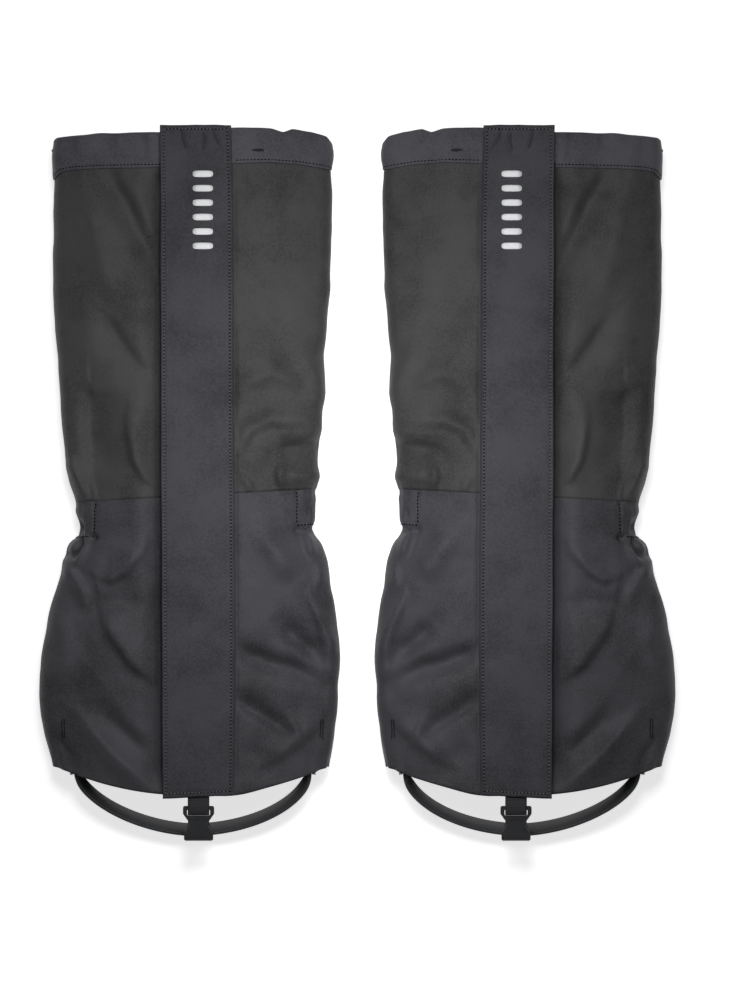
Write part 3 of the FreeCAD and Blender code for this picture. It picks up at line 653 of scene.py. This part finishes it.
def ribbed(name, colour, pitch, direction="Y", roughness=0.7, depth=0.0005, gloss=0.3):
    """Webbing, elastic or cord: ribs at one pitch with a fine fibre grain."""
    material, tree, shader = new_material(name)
    place = node(tree, "TexCoord")
    ribs = bands(tree, place.outputs["Object"], pitch, direction, 0.6).outputs["Fac"]
    tree.links.new(uneven_colour(tree, ribs, colour, 0.25, 0.1, 0.9), shader.inputs["Base Color"])
    fine = bump(tree, noise(tree, place, 2200.0, 2.0), 0.4, 0.0003)
    tree.links.new(bump(tree, ribs, 0.7, depth, fine), shader.inputs["Normal"])
    set_inputs(shader, Roughness=roughness, Sheen_Weight=0.1 * gloss, Specular_IOR_Level=gloss)
    return material


def moulded(name, colour, roughness, grain_scale=900.0, depth=0.00015, metallic=0.0, wear=0.12):
    """Moulded or coated surface with fine grain and slightly uneven gloss."""
    material, tree, shader = new_material(name)
    place = node(tree, "TexCoord")
    cloud = noise(tree, place, 70.0, 4.0)
    tree.links.new(uneven_colour(tree, cloud, colour, wear), shader.inputs["Base Color"])
    rough = node(tree, "MapRange")
    set_inputs(rough, To_Min=roughness - 0.06, To_Max=roughness + 0.08)
    tree.links.new(cloud, rough.inputs["Value"])
    tree.links.new(rough.outputs["Result"], shader.inputs["Roughness"])
    grain = noise(tree, place, grain_scale, 3.0)
    tree.links.new(bump(tree, grain, 0.35, depth), shader.inputs["Normal"])
    set_inputs(shader, Metallic=metallic)
    return material


# colour, thread width in millimetres, roughness, sheen, and share of the relief
SHIN = fabric("shin_fabric", (0.0468, 0.0469, 0.0485), 0.36, 0.58, 0.12)
BOOT = fabric("boot_fabric", (0.0480, 0.0474, 0.0538), 0.38, 0.58, 0.12)
FLAP = fabric("flap_fabric", (0.0445, 0.0434, 0.0504), 0.38, 0.60, 0.14)
# the cuff is the flap's fabric painted lighter: a lit copy that stands in for the light falling on
# the knee end
CUFF_PAINTED_LIGHTER = fabric("cuff_fabric_painted_lighter", (0.0645, 0.0627, 0.0721), 0.38, 0.58, 0.14)
LINING = fabric("lining_fabric", (0.034, 0.034, 0.038), 0.60, 0.75, 0.1, spread=0.10)
TAPE = fabric("fastener_tape", (0.021, 0.021, 0.023), 1.1, 0.85, 0.3, 2.2, 0.10)
# colour, rib pitch in millimetres, direction, roughness, depth in metres, and gloss
# the plain thread is near-black: partly its own dark colour, partly painted shade of the pits where
# the stitches sink into the cloth
THREAD_DARK_WITH_SHADE = ribbed("thread", (0.0052, 0.0052, 0.0066), 0.35, "X", 0.95, 0.0001, 0.0)
FLAP_THREAD = ribbed("flap_thread", (0.120, 0.116, 0.124), 0.35, "X", 0.80, 0.0001, 0.1)
WEBBING = ribbed("webbing", (0.031, 0.031, 0.036), 0.45, "Y", 0.75, 0.00012)
ELASTIC = ribbed("elastic", (0.025, 0.025, 0.028), 1.4, "X")
CORD = ribbed("cord", (0.021, 0.021, 0.025), 0.8, "X")
# colour, roughness, scale of the grain, its depth in metres, metallic, and wear
# near-black beads between the stitches: painted shade of the needle holes, where the thread sinks
# into the cloth
PAINTED_HOLE_SHADE = moulded("needle_hole_painted_shade", (0.0030, 0.0030, 0.0036), 0.9, 2600.0, 0.0001)
PRINT = moulded("print", (0.84, 0.85, 0.86), 0.42, 2600.0, 0.0001, 0.0, 0.05)
HOOK = moulded("hook_metal", (0.046, 0.047, 0.050), 0.36, 1500.0, 0.00008, 0.15)
STEEL = moulded("steel", (0.095, 0.095, 0.100), 0.42, 2500.0, 0.00005, 0.8)
STRAP = moulded("strap_rubber", (0.035, 0.036, 0.040), 0.46, 1300.0, 0.0002)
LOCK = moulded("lock_plastic", (0.023, 0.023, 0.026), 0.42, 1200.0, 0.00015)


# ---- fabric body ----
WHOLE = (0, LAST_COLUMN)
COLUMN_SEARCH = 0.25


def column_at(x, y, front=True):
    """The column of the front or back layer that passes through x at y."""
    columns = np.arange(0, COLUMNS, COLUMN_SEARCH)
    points = outline(columns, np.full(len(columns), float(y)))
    wanted = (points[:, 1] > WIDEST_Z + 2) == front
    return columns[wanted][np.argmin(np.abs(points[wanted, 0] - x))]


def upper_panel(side):
    piece = body_grid("upper_panel", side, SHIN, shifted(cuff_line, 1.0), seam_line, WHOLE, 0.0, 0.7)
    return piece


def lower_panel(side):
    piece = body_grid("lower_panel", side, BOOT, shifted(seam_line, 0.8), hem_y, WHOLE, 0.15, 0.8)
    return piece


CUFF_PROUD = 1.7
CUFF_LIP = 0.9
CUFF_ROW = 0.09
CUFF_CLOTH = 0.45
RIM_ROLL = 1.6
CUFF_DENTS = [
    ([(50, 218), (60, 228), (66, 236)], (2.5, 4.0), 1.1),
    ([(-82, 232), (-74, 218)], 4.0, 0.9),
    ([(-58, 236), (-54, 222)], (2.0, 6.0), -1.0),
    ([(-37, 237), (-33, 216)], (2.0, 5.0), -1.0),
    ([(36, 240), (44, 216)], (2.5, 5.0), -1.0),
]


def cuff_point(columns, y, share, out, front_only):
    """The tunnel's fabric, standing proud of the body by out."""
    base = body_surface(columns, y, 0.0, 1.0 - 0.65 * float(smooth(share * 2.5)))
    along = tangent(columns, y)
    girth = girth_at(columns)
    x = base[:, 0]
    tuck = 0.30 * share * waves(girth, y, 23, 16.0, 3.0) + 0.5 * waves(girth, y, 24, 30.0, 1.0)
    dents = sum(fold(x, y, *dent) for dent in CUFF_DENTS)
    bulge = float(smooth(share * 5.0))
    out = out + bulge * (out > 0) * (tuck + np.where(front_only, dents, 0.0))
    base[:, 0] += along[:, 1] * out
    base[:, 2] -= along[:, 0] * out
    return base


def top_cuff(side):
    """Tunnel round the knee end: up the outside, over the rim, down the inside."""
    columns = np.arange(0, LAST_COLUMN)
    girth = girth_at(columns)
    # share of the way up, lift beyond the rim, and how far out
    rows = [(0.0, 0.0, 0.3)]
    for share in np.linspace(0, 1, 22):
        rise = (CUFF_PROUD - CUFF_LIP) * math.sin(share * math.pi / 2)
        belly = 0.4 * math.sin(share * math.pi)
        groove = 0.25 * math.exp(-((share - CUFF_ROW) / 0.04) ** 2)
        rows.append((share, 0.0, CUFF_LIP + rise + belly - groove))
    for turn in np.linspace(0, math.pi, 8)[1:-1]:
        rows.append((1.0, RIM_ROLL * math.sin(turn), CUFF_PROUD * math.cos(turn)))
    for share in np.linspace(1, 0, 8):
        rows.append((share, 0.0, -CUFF_PROUD))
    x = x_at(columns, CUFF_EDGE)
    low = cuff_line(x)
    high = rim_line(x) - RIM_ROLL + 0.25 * waves(girth, 0 * girth, 22, 13.0)
    front_only = (columns < COLUMNS * 0.25) | (columns > COLUMNS * 0.75)
    points, uv = [], []
    for share, lift, out in rows:
        y = low + (high - low) * share + lift
        points.append(cuff_point(columns, y, share, out, front_only))
        uv.append(np.stack([girth, y + 300 * (out < 0)], -1))
    # the cuff takes the lighter, painted-light copy of the flap's fabric
    return cloth("top_cuff", side, CUFF_PAINTED_LIGHTER, points, CUFF_CLOTH, uv)


def ankle_strip(name, side, material, above, below, past, inset, thickness):
    """A strip round the back of the ankle; above and below count from the ankle seam."""
    ends = (ELASTIC_ENDS[0] - past, ELASTIC_ENDS[1] + past)
    return body_grid(name, side, material, shifted(seam_line, above), shifted(seam_line, below),
                     [column_at(x, SEAM_Y - 12) for x in ends], inset, thickness)


def ankle_elastic(side):
    return ankle_strip("ankle_elastic", side, ELASTIC, -1.2, -23.2, 0, 1.5, 0.9)


def ankle_casing(side):
    return ankle_strip("ankle_casing", side, LINING, -0.2, -25.8, 2, 2.8, 0.5)


def hem_facing(side):
    return body_grid("hem_facing", side, LINING, shifted(hem_y, 15.0), shifted(hem_y, 0.3),
                     WHOLE, 1.0, 0.5)


PATCH_HALF = 12.0
PATCH_INNER_X = 78.0


def anchor_patch(side, end, name):
    """Square of boot fabric inside the side wall, behind the bar-tack."""
    x, y = TACKS[end]
    ends = sorted((column_at(x, y), column_at(end * PATCH_INNER_X, y, front=False)))
    return body_grid(name, side, BOOT, lambda v: y + PATCH_HALF, lambda v: y - PATCH_HALF,
                     ends, 1.1, 0.6)


# ---- front closure ----
FLAP_RIGHT = [(240, 22.2), (200, 23.5), (172, 23.9), (102, 24.2), (49, 24.3), (-71, 25.2),
              (-140, 25.2), (-210, 24.3)]
FLAP_DENTS = [
    ([(-12, 60), (6, 40), (18, 52)], 9.0, -0.45),
    ([(-16, 150), (4, 120)], 12.0, 0.35),
    ([(-20, -60), (10, -90)], 13.0, 0.4),
    ([(-18, -130), (14, -160)], 14.0, -0.4),
    ([(-10, 238), (-9, 230), (-6, 221)], (1.0, 2.0), -1.0),
    ([(4, 237), (5, 229), (3, 219)], (1.8, 1.0), -1.1),
    ([(11, 237), (13, 230), (17, 222)], (1.0, 1.8), -1.2),
    ([(-22, 226), (-12, 214), (-2, 210)], 4.5, -0.35),
    ([(18, 190), (4, 168), (-12, 160)], 8.0, -0.4),
]


FLAP_LENGTH = 440.0
FLAP_NOMINAL = 24.0
FLAP_SINK = 0.35
FLAP_CLOTH = 0.7
SHEET_STEP = 3.0
BOTTOM_DROP, BOTTOM_RISE = 1.2, 0.045
# the stitching rows, measured in from the flap's edges, and the dent they pull
ROW_LEFT, ROW_RIGHT, ROW_TOP, ROW_BOTTOM = 2.1, 2.0, 2.4, 3.0
ROW_DENT, ROW_WIDTH = 0.40, 0.8


def flap_right(y):
    return np.interp(-np.asarray(y, float), *zip(*[(-at, x) for at, x in FLAP_RIGHT]))


def flap_left(y):
    share = np.clip((FLAP_TOP - y) / FLAP_LENGTH, 0, 1)
    return FLAP_LEFT_TOP + (FLAP_LEFT_BOTTOM - FLAP_LEFT_TOP) * share


def flap_bottom(x):
    """The bottom edge rises a little towards the sewn side."""
    return FLAP_BOTTOM - BOTTOM_DROP + BOTTOM_RISE * (x + FLAP_NOMINAL)


def flap_height(x, y):
    """Top face of the flap: nearly flat, rolling down to its sewn fold on the right."""
    edge = flap_right(y)
    z = np.full(np.broadcast(x, y).shape, FLAP_Z - FLAP_SINK)
    z = z + 0.26 * waves(x, y, 41, 55.0, 1.5) + 0.10 * waves(x, y, 43, 22.0, 1.3)
    for dent in FLAP_DENTS:
        z = z + fold(x + 0 * y, y + 0 * x, *dent)
    z = z + 0.22 * np.exp(-((x - edge + 0.9) / 0.5) ** 2)
    z = z - 0.35 * between(x, edge - 5.0, edge - 1.0) - 3.2 * between(x, edge - 0.9, edge + 0.9)
    left, bottom = flap_left(y), flap_bottom(x)
    for gap in (x - left - ROW_LEFT, x - edge + ROW_RIGHT,
                y - FLAP_TOP + ROW_TOP, y - bottom - ROW_BOTTOM):
        z = z - ROW_DENT * np.exp(-(gap / ROW_WIDTH) ** 2)
    round_off = np.minimum(x - left, np.minimum(FLAP_TOP - y, y - bottom))
    return z - 0.45 * np.exp(-np.maximum(round_off, 0) / 0.5)


def flap_outer(side):
    downs = np.linspace(0, 1, 300)
    # closer columns at both side edges
    shares = np.concatenate([np.linspace(0, 0.08, 8)[:-1], np.linspace(0.08, 0.84, 30)[:-1],
                             np.linspace(0.84, 1.0, 16)])
    down, share = np.meshgrid(downs, shares, indexing="ij")
    bottom = flap_bottom(FLAP_NOMINAL * (2 * share - 1))
    y = FLAP_TOP + (bottom - FLAP_TOP) * down
    left, right = flap_left(y), flap_right(y)
    x = left + (right + 0.8 - left) * share
    x = x + 0.22 * waves(y, 0 * y, 45, 60.0) * (1 - share)
    y = y + 0.2 * waves(x, 0 * x, 46, 18.0) * (np.abs(2 * down - 1) > 0.99)
    points = np.stack([x, y, flap_height(x, y)], -1)
    piece = cloth("flap_outer", side, FLAP, points, FLAP_CLOTH, points[..., :2])
    return piece


def flat_sheet(name, side, material, thickness, drop):
    """A layer of the flap or of the underlap, with a faint swell of its own."""
    low, high = box_mm("left_" + name)
    x0, x1 = low[0] - FLAP_X, high[0] - FLAP_X
    xs = np.linspace(x0, x1, max(4, int((x1 - x0) / SHEET_STEP)))
    ys = np.linspace(high[1], low[1], int((high[1] - low[1]) / SHEET_STEP))
    y, x = np.meshgrid(ys, xs, indexing="ij")
    points = np.stack([x, y, high[2] - drop + 0.05 * waves(x, y, len(name), 9.0)], -1)
    return cloth(name, side, material, points, thickness, points[..., :2])


def flap_lining(side):
    return flat_sheet("flap_lining", side, LINING, 0.4, 0.25)


def hook_tape(side):
    return flat_sheet("hook_tape", side, TAPE, 0.8, 0.1)


def loop_tape(side):
    return flat_sheet("loop_tape", side, TAPE, 1.0, 0.1)


PRINT_BARS = 6
PRINT_PITCH = 9.6
PRINT_HALF = (6.8, 2.2)
PRINT_RING = 20
PRINT_CORNERS = (0.45, 0.6)
PRINT_LIFT, PRINT_THICK = 0.16, 0.12


def reflective_print(side):
    """Plain reflective bars that lie on the flap."""
    low, high = box_mm("left_reflective_print")
    centre_x = (low[0] + high[0]) / 2 - FLAP_X
    points, faces = [], []
    for bar in range(PRINT_BARS):
        centre_y = high[1] - PRINT_HALF[1] - PRINT_PITCH * bar
        start = len(points)
        points.append((centre_x, centre_y))
        for layer in (0.5, 1.0):
            for turn in 2 * math.pi * np.arange(PRINT_RING) / PRINT_RING:
                dx, dy = [math.copysign(abs(way) ** corner, way)
                          for way, corner in zip((math.cos(turn), math.sin(turn)), PRINT_CORNERS)]
                points.append((centre_x + layer * PRINT_HALF[0] * dx,
                               centre_y + layer * PRINT_HALF[1] * dy))
        for step in range(PRINT_RING):
            after = (step + 1) % PRINT_RING
            inner, outer = start + 1, start + 1 + PRINT_RING
            faces.append((start, inner + step, inner + after))
            faces.append((inner + step, outer + step, outer + after, inner + after))
    piece = add_mesh("reflective_print", on_flap(points, PRINT_LIFT), faces, side, PRINT)
    thicken(piece, PRINT_THICK)
    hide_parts(side + "_reflective_print")
    return piece


# ---- stitching ----
STITCH_SHAPE = [(-0.5, 0.25), (-0.3, 0.9), (0.3, 0.9), (0.5, 0.25)]
HOLE_SHAPE = [(-0.5, 0.35), (-0.2, 1.0), (0.2, 1.0), (0.5, 0.35)]
BEAD_SIDES = 6
REACH = 0.8


def bead(middle, way, shape, length, width, height):
    """One small rounded body: rings of points along its way, and its faces."""
    across = np.cross((0, 0, 1.0), way)
    across /= max(np.linalg.norm(across), TINY)
    up = np.cross(way, across)
    points = []
    for shift, swell in shape:
        for step in range(BEAD_SIDES):
            turn = 2 * math.pi * step / BEAD_SIDES
            points.append(middle + way * shift * length
                          + across * swell * width / 2 * math.cos(turn)
                          + up * swell * height / 2 * math.sin(turn))
    return points, rod_faces(len(shape), BEAD_SIDES)


def stitch_beads(line, hole, pitch=2.35, length=1.5, width=1.0, height=0.40):
    """Kind, points and faces of each stitch along a line, and of the needle holes between, drawn as
    near-black beads of painted shade.
    """
    line = np.array(line, float)
    place = lengths_along(line)

    def spot(at):
        return np.array([np.interp(at, place, line[:, k]) for k in range(3)])

    beads = [(0, 0.0, STITCH_SHAPE, length, width, height)]
    if hole:
        beads.append((1, pitch / 2, HOLE_SHAPE, hole, hole * 1.1, height * 0.7))
    for start in np.arange(pitch / 2, place[-1] - length / 2, pitch):
        for kind, shift, *sizes in beads:
            at = start + shift
            way = spot(at + REACH) - spot(at - REACH)
            way /= max(np.linalg.norm(way), TINY)
            yield kind, *bead(spot(at), way, *sizes)


# stitches default to the near-black thread, which carries painted shade
def stitches(name, side, lines, holes=None, thread=THREAD_DARK_WITH_SHADE, **sizes):
    """Rows of rounded stitches as one piece; holes gives each row's needle holes a size, and those
    beads take the near-black painted-shade material.
    """
    points, faces, kinds = [], [], []
    for line, hole in zip(lines, holes or [0.0] * len(lines)):
        for kind, more, quads in stitch_beads(line, hole, **sizes):
            faces += [tuple(i + len(points) for i in quad) for quad in quads]
            kinds += [kind] * len(quads)
            points += more
    piece = add_mesh(name, points, faces, side, thread, closed=True)
    if holes:
        # the needle-hole beads get the near-black painted-shade material
        piece.data.materials.append(PAINTED_HOLE_SHADE)
        piece.data.polygons.foreach_set("material_index", kinds)
    return piece


def on_flap(xy, lift=0.12):
    flat = np.array(xy, float)
    return np.column_stack([flat, flap_height(flat[:, 0], flat[:, 1]) + lift])


def flap_stitches(side):
    ys = np.linspace(FLAP_TOP - ROW_TOP, FLAP_BOTTOM - BOTTOM_DROP + ROW_BOTTOM, 150)
    left, right = flap_left(ys) + ROW_LEFT, flap_right(ys) - ROW_RIGHT
    rows = [np.column_stack([left, ys]), np.column_stack([right, ys])]
    for end in (0, -1):
        xs = np.linspace(left[end], right[end], 30)
        rows.append([(x, flap_bottom(x) + ROW_BOTTOM if end else ys[0]) for x in xs])
    # each flap row gets near-black needle-hole beads of painted shade between its stitches
    return stitches("flap_stitches", side, [on_flap(row) for row in rows],
                    holes=(1.0, 1.9, 1.9, 1.1), thread=FLAP_THREAD, length=1.3)


def on_body(columns, ys, lift=0.15):
    return body_surface(np.array(columns, float), np.array(ys, float), -lift)


def cuff_stitches(side):
    columns = np.arange(2.0, COLUMNS - 3)
    x = x_at(columns, CUFF_EDGE)
    ys = cuff_line(x) + CUFF_ROW * (rim_line(x) - cuff_line(x) - RIM_ROLL)
    line = cuff_point(columns, ys, CUFF_ROW, CUFF_LIP + 0.05, np.zeros(len(x), bool))
    return stitches("cuff_stitches", side, [line], width=0.85)


LOWER_ROW_Y = -30.0


def elastic_stitches(side):
    """End rows of the ankle elastic and one row along its lower edge."""
    rows = []
    for x in ELASTIC_ENDS:
        ys = np.linspace(seam_line(x) - 1.0, seam_line(x) - 23.0, 12)
        rows.append(on_body([column_at(x, y) for y in ys], ys, 0.35))
    columns = np.arange(*[column_at(x, LOWER_ROW_Y) for x in ELASTIC_ENDS])
    rows.append(on_body(columns, seam_line(x_at(columns, LOWER_ROW_Y)) - 23.5, 0.3))
    return stitches("elastic_stitches", side, rows, width=0.9)


TACK_HALF, TACK_STEPS = 6.7, 14
TACK_GAP, TACK_SWING = 0.8, 0.35


def bar_tacks(side):
    """Two close zigzag rows on each side, over the strap anchors."""
    rows = []
    for end, (x, y) in TACKS.items():
        for offset in (-TACK_GAP, TACK_GAP):
            ys = np.linspace(y + TACK_HALF, y - TACK_HALF, TACK_STEPS + 1)
            swing = [x + offset + TACK_SWING * (-1) ** step for step in range(TACK_STEPS + 1)]
            rows.append(on_body([column_at(*spot) for spot in zip(swing, ys)], ys, 0.1))
    return stitches("bar_tacks", side, rows, pitch=1.2, length=1.2, width=0.5)


# ---- lace hook tab and underfoot strap ----
WEBBING_LEFT, WEBBING_RIGHT = -5.9, 8.5
HINGE_Y, HINGE_Z = -208.2, 39.5
HOOK_SLOPE = math.radians(12.0)
HOOK_PIVOT = 8.5
LOOP_SLACK = 2.6
LOOP_BEND = 1.95
WEBBING_THICK = 0.9


def down_slope(along, up):
    """y and z at so far down the hook's slope and so far above it."""
    return (HINGE_Y - along * math.cos(HOOK_SLOPE) - up * math.sin(HOOK_SLOPE),
            HINGE_Z - along * math.sin(HOOK_SLOPE) + up * math.cos(HOOK_SLOPE))


def hook_webbing(side):
    """One folded strip: sewn under the flap, then a slack loop round the hook's bar."""
    path = [(-188.0, 38.55), (-200.0, 38.6), (-205.0, 38.75)]
    path += [down_slope(a, u) for a, u in ((0.5, 0.55), (3.0, 0.8), (5.6, 1.5), (8.2, 1.95))]
    for turn in np.radians(np.linspace(90, -90, 11)):
        path.append(down_slope(HOOK_PIVOT + LOOP_SLACK + LOOP_BEND * math.cos(turn),
                               LOOP_BEND * math.sin(turn)))
    path += [down_slope(a, u) for a, u in ((8.2, -1.95), (5.6, -1.5), (3.0, -0.8), (1.2, -0.62))]
    path = np.array(path)
    xs = np.linspace(WEBBING_LEFT, WEBBING_RIGHT, 9)
    points = [[(x, y, z) for x in xs] for y, z in path]
    uv = [[(x, along) for x in xs] for along in lengths_along(path)]
    piece = add_mesh("hook_webbing", points, grid_faces(len(path), len(xs)), side, WEBBING, uv)
    thicken(piece, WEBBING_THICK, 0.0)
    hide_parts(side + "_hook_webbing_sewn", side + "_hook_webbing_loop")
    return piece


STRAP_LOW, STRAP_HIGH = box_mm("left_underfoot_strap")
STRAP_AXIS = (-190.0, 18.0)
STRAP_TILT = math.radians(14.0)
STRAP_WIDTH, STRAP_THICK = 15.0, 2.2
STRAP_REACH = 44.2 - STRAP_THICK / 2
STRAP_SPAN = (STRAP_HIGH[0] - STRAP_LOW[0]) / 2 - STRAP_THICK / 2
STRAP_MIDDLE = (STRAP_HIGH[0] + STRAP_LOW[0]) / 2 - FLAP_X
STRAP_TWIST = math.radians(14.0)
STRAP_FULLNESS = (1.72, 1.9)
STRAP_ENDS = (7.0, 3.5)
STRAP_CORNER = 0.8
STRAP_GROOVE, STRAP_BORDER = 0.25, 2.5
STRAP_FLOOR = 0.15
UP = np.array([0, 0, 1.0])


def underfoot_strap(side):
    """Moulded band in a half oval; its middle lies over a little on the floor."""
    stations = [((-STRAP_SPAN, y), (0.0, -1.0)) for y in STRAP_ENDS]
    curve = []
    for turn in np.linspace(math.pi, 2 * math.pi, 73):
        x = math.cos(turn)
        full = STRAP_FULLNESS[0] if x < 0 else STRAP_FULLNESS[1]
        curve.append((STRAP_SPAN * x, -STRAP_REACH * max(0.0, 1 - abs(x) ** full) ** (1 / full)))
    ways = np.gradient(np.array(curve), axis=0)
    ways /= np.linalg.norm(ways, axis=1, keepdims=True)
    stations += list(zip(curve, ways.tolist()))
    stations += [((STRAP_SPAN, y), (0.0, 1.0)) for y in STRAP_ENDS[::-1]]
    profile = []
    for sx, sz, start in ((1, 1, 0), (-1, 1, 90), (-1, -1, 180), (1, -1, 270)):
        for a in np.radians(start + 30.0 * np.arange(4)):
            profile.append((sx * (STRAP_THICK / 2 - STRAP_CORNER) + STRAP_CORNER * math.cos(a),
                            sz * (STRAP_WIDTH / 2 - STRAP_CORNER) + STRAP_CORNER * math.sin(a)))
    profile = np.array(profile)
    groove = STRAP_GROOVE * (np.abs(profile[:, 1]) < STRAP_WIDTH / 2 - STRAP_BORDER)
    profile[:, 0] -= np.sign(profile[:, 0]) * groove
    points = []
    for (x, y), (wx, wy) in stations:
        outward = np.array([wy, -wx, 0.0])
        lean = STRAP_TWIST * float(between(-y, -2.0, 14.0))
        up = UP * math.cos(lean) + outward * math.sin(lean)
        out = outward * math.cos(lean) - UP * math.sin(lean)
        for across, height in profile:
            points.append(np.array([x, y, 0.0]) + out * across + up * height)
    points = np.array(points)
    y, z = points[:, 1].copy(), points[:, 2].copy()
    points[:, 0] += STRAP_MIDDLE
    points[:, 1] = STRAP_AXIS[0] + y * math.cos(STRAP_TILT) - z * math.sin(STRAP_TILT)
    points[:, 2] = STRAP_AXIS[1] + y * math.sin(STRAP_TILT) + z * math.cos(STRAP_TILT)
    points[:, 2] = np.maximum(points[:, 2], STRAP_FLOOR)
    faces = rod_faces(len(stations), len(profile))
    piece = add_mesh("underfoot_strap", points, faces, side, STRAP, closed=True)
    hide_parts(side + "_underfoot_strap")
    return piece


TAB_INSET, TAB_THICK = 0.7, 1.2


def anchor_tab(side, end, name):
    """Webbing tab from the post up to the side wall."""
    low, high = box_mm("left_" + name)
    inner, outer = (low[0], high[0]) if end > 0 else (high[0], low[0])
    x_post = inner - FLAP_X + end * TAB_INSET
    x_wall = outer - FLAP_X - end * TAB_INSET
    path = [(x_post, low[1] + 4.4), (x_post, low[1] + 16), (x_post + end * 0.6, low[1] + 20),
            (x_wall - end * 0.6, -166.0), (x_wall, -162.0), (x_wall, high[1])]
    heights = np.linspace(low[2], high[2], 7)
    points = [[(x, y, z) for z in heights] for x, y in path]
    return cloth(name, side, WEBBING, points, TAB_THICK, offset=0.0)


# ---- hard pieces kept from the design ----
# material, and the width of the rounded edges in millimetres
KEPT = {
    "lace_hook": (HOOK, 0.3),
    "cuff_eyelet": (LOCK, 0.15),
    "cord_lock_barrel": (LOCK, 0.35),
    "cord_lock_plunger": (LOCK, 0.2),
    "cord_lock_spring": (STEEL, 0.05),
    "cord_end_clip": (LOCK, 0.4),
    "strap_post_barrels": (STEEL, 0.2),
    "strap_post_screws": (STEEL, 0.2),
    "drawcord": (CORD, 0.0),
}


def finish_kept(side):
    for name, (material, edge) in KEPT.items():
        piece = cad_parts[side + "_" + name]
        for slot in piece.material_slots:
            slot.material = material
        if edge:
            bevel = piece.modifiers.new("edges", "BEVEL")
            bevel.width = edge * MM
            bevel.segments = 3
            bevel.limit_method = "ANGLE"


# ---- assembly ----
ON_GAITER = [upper_panel, lower_panel, top_cuff, ankle_elastic, ankle_casing, hem_facing,
             loop_tape, cuff_stitches, elastic_stitches, bar_tacks]
ON_FLAP = [hook_tape, flap_lining, reflective_print]


def blended_at_flap(piece):
    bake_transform(piece)


def assemble(side):
    for build in ON_GAITER:
        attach(build(side), side + "_gaiter")
    for end, word in ((-1, "outer"), (1, "inner")):
        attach(anchor_patch(side, end, "anchor_patch_" + word), side + "_gaiter")
        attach(anchor_tab(side, end, "anchor_tab_" + word), side + "_gaiter")
    for build in ON_FLAP:
        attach(build(side), side + "_flap")
    for build in (flap_outer, flap_stitches):
        blended_at_flap(build(side))
    webbing = hook_webbing(side)
    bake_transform(webbing)
    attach(underfoot_strap(side), side + "_strap")
    finish_kept(side)


for side in SIDES:
    assemble(side)


# ---- camera, light and floor ----
# place, size in metres and power in watts; both hang over the middle line
LIGHTS = {
    "key": ((0.0, 0.85, 1.9), 0.6, 12.8),
    "middle": ((0.0, 0.03, 0.31), 0.25, 0.68),
}
FLOOR_HALF = 4.0
FLOOR_GLOW, WORLD_GLOW = 0.7, 0.08
CAMERA_X, CAMERA_Y, CAMERA_DISTANCE = 0.0118, -0.0113, 8.0
MIDDLE_HEIGHT = 0.02
VIEW_HEIGHT = 0.668
SENSOR = 24.0


def add_light(name, place, size, power):
    """A round light that shines on the middle of the pair."""
    data = bpy.data.lights.new(name, "AREA")
    data.shape = "DISK"
    data.size = size
    data.energy = power
    lamp = add_object(name, data)
    lamp.location = place
    lamp.rotation_euler = (-Vector(place)).to_track_quat("-Z", "Y").to_euler()


def studio():
    """Pale floor, a soft light from beyond the knee end and a weak one low over the middle."""
    mesh = bpy.data.meshes.new("floor")
    corners = [(x * FLOOR_HALF, y * FLOOR_HALF, 0) for x, y in ((-1, -1), (1, -1), (1, 1), (-1, 1))]
    mesh.from_pydata(corners, [], [(0, 1, 2, 3)])
    material, _, shader = new_material("floor")
    set_inputs(shader, Base_Color=(0.97, 0.97, 0.97, 1), Emission_Color=(1, 1, 1, 1),
               Emission_Strength=FLOOR_GLOW, Roughness=0.9, Specular_IOR_Level=0.0)
    mesh.materials.append(material)
    add_object("floor", mesh)
    world = bpy.data.worlds.new("studio")
    world.use_nodes = True
    set_inputs(world.node_tree.nodes["Background"], Color=(1, 1, 1, 1), Strength=WORLD_GLOW)
    bpy.context.scene.world = world
    for name, look in LIGHTS.items():
        add_light(name, *look)


def camera():
    """Straight down on the pair, from far enough to flatten the perspective."""
    data = bpy.data.cameras.new("camera")
    data.sensor_fit = "VERTICAL"
    data.sensor_height = SENSOR
    data.sensor_width = SENSOR
    data.lens = SENSOR * CAMERA_DISTANCE / VIEW_HEIGHT
    data.clip_end = 50
    made = add_object("camera", data)
    made.location = (CAMERA_X, CAMERA_Y, CAMERA_DISTANCE + MIDDLE_HEIGHT)
    bpy.context.scene.camera = made
    bpy.context.scene.view_settings.view_transform = "Standard"


studio()
camera()
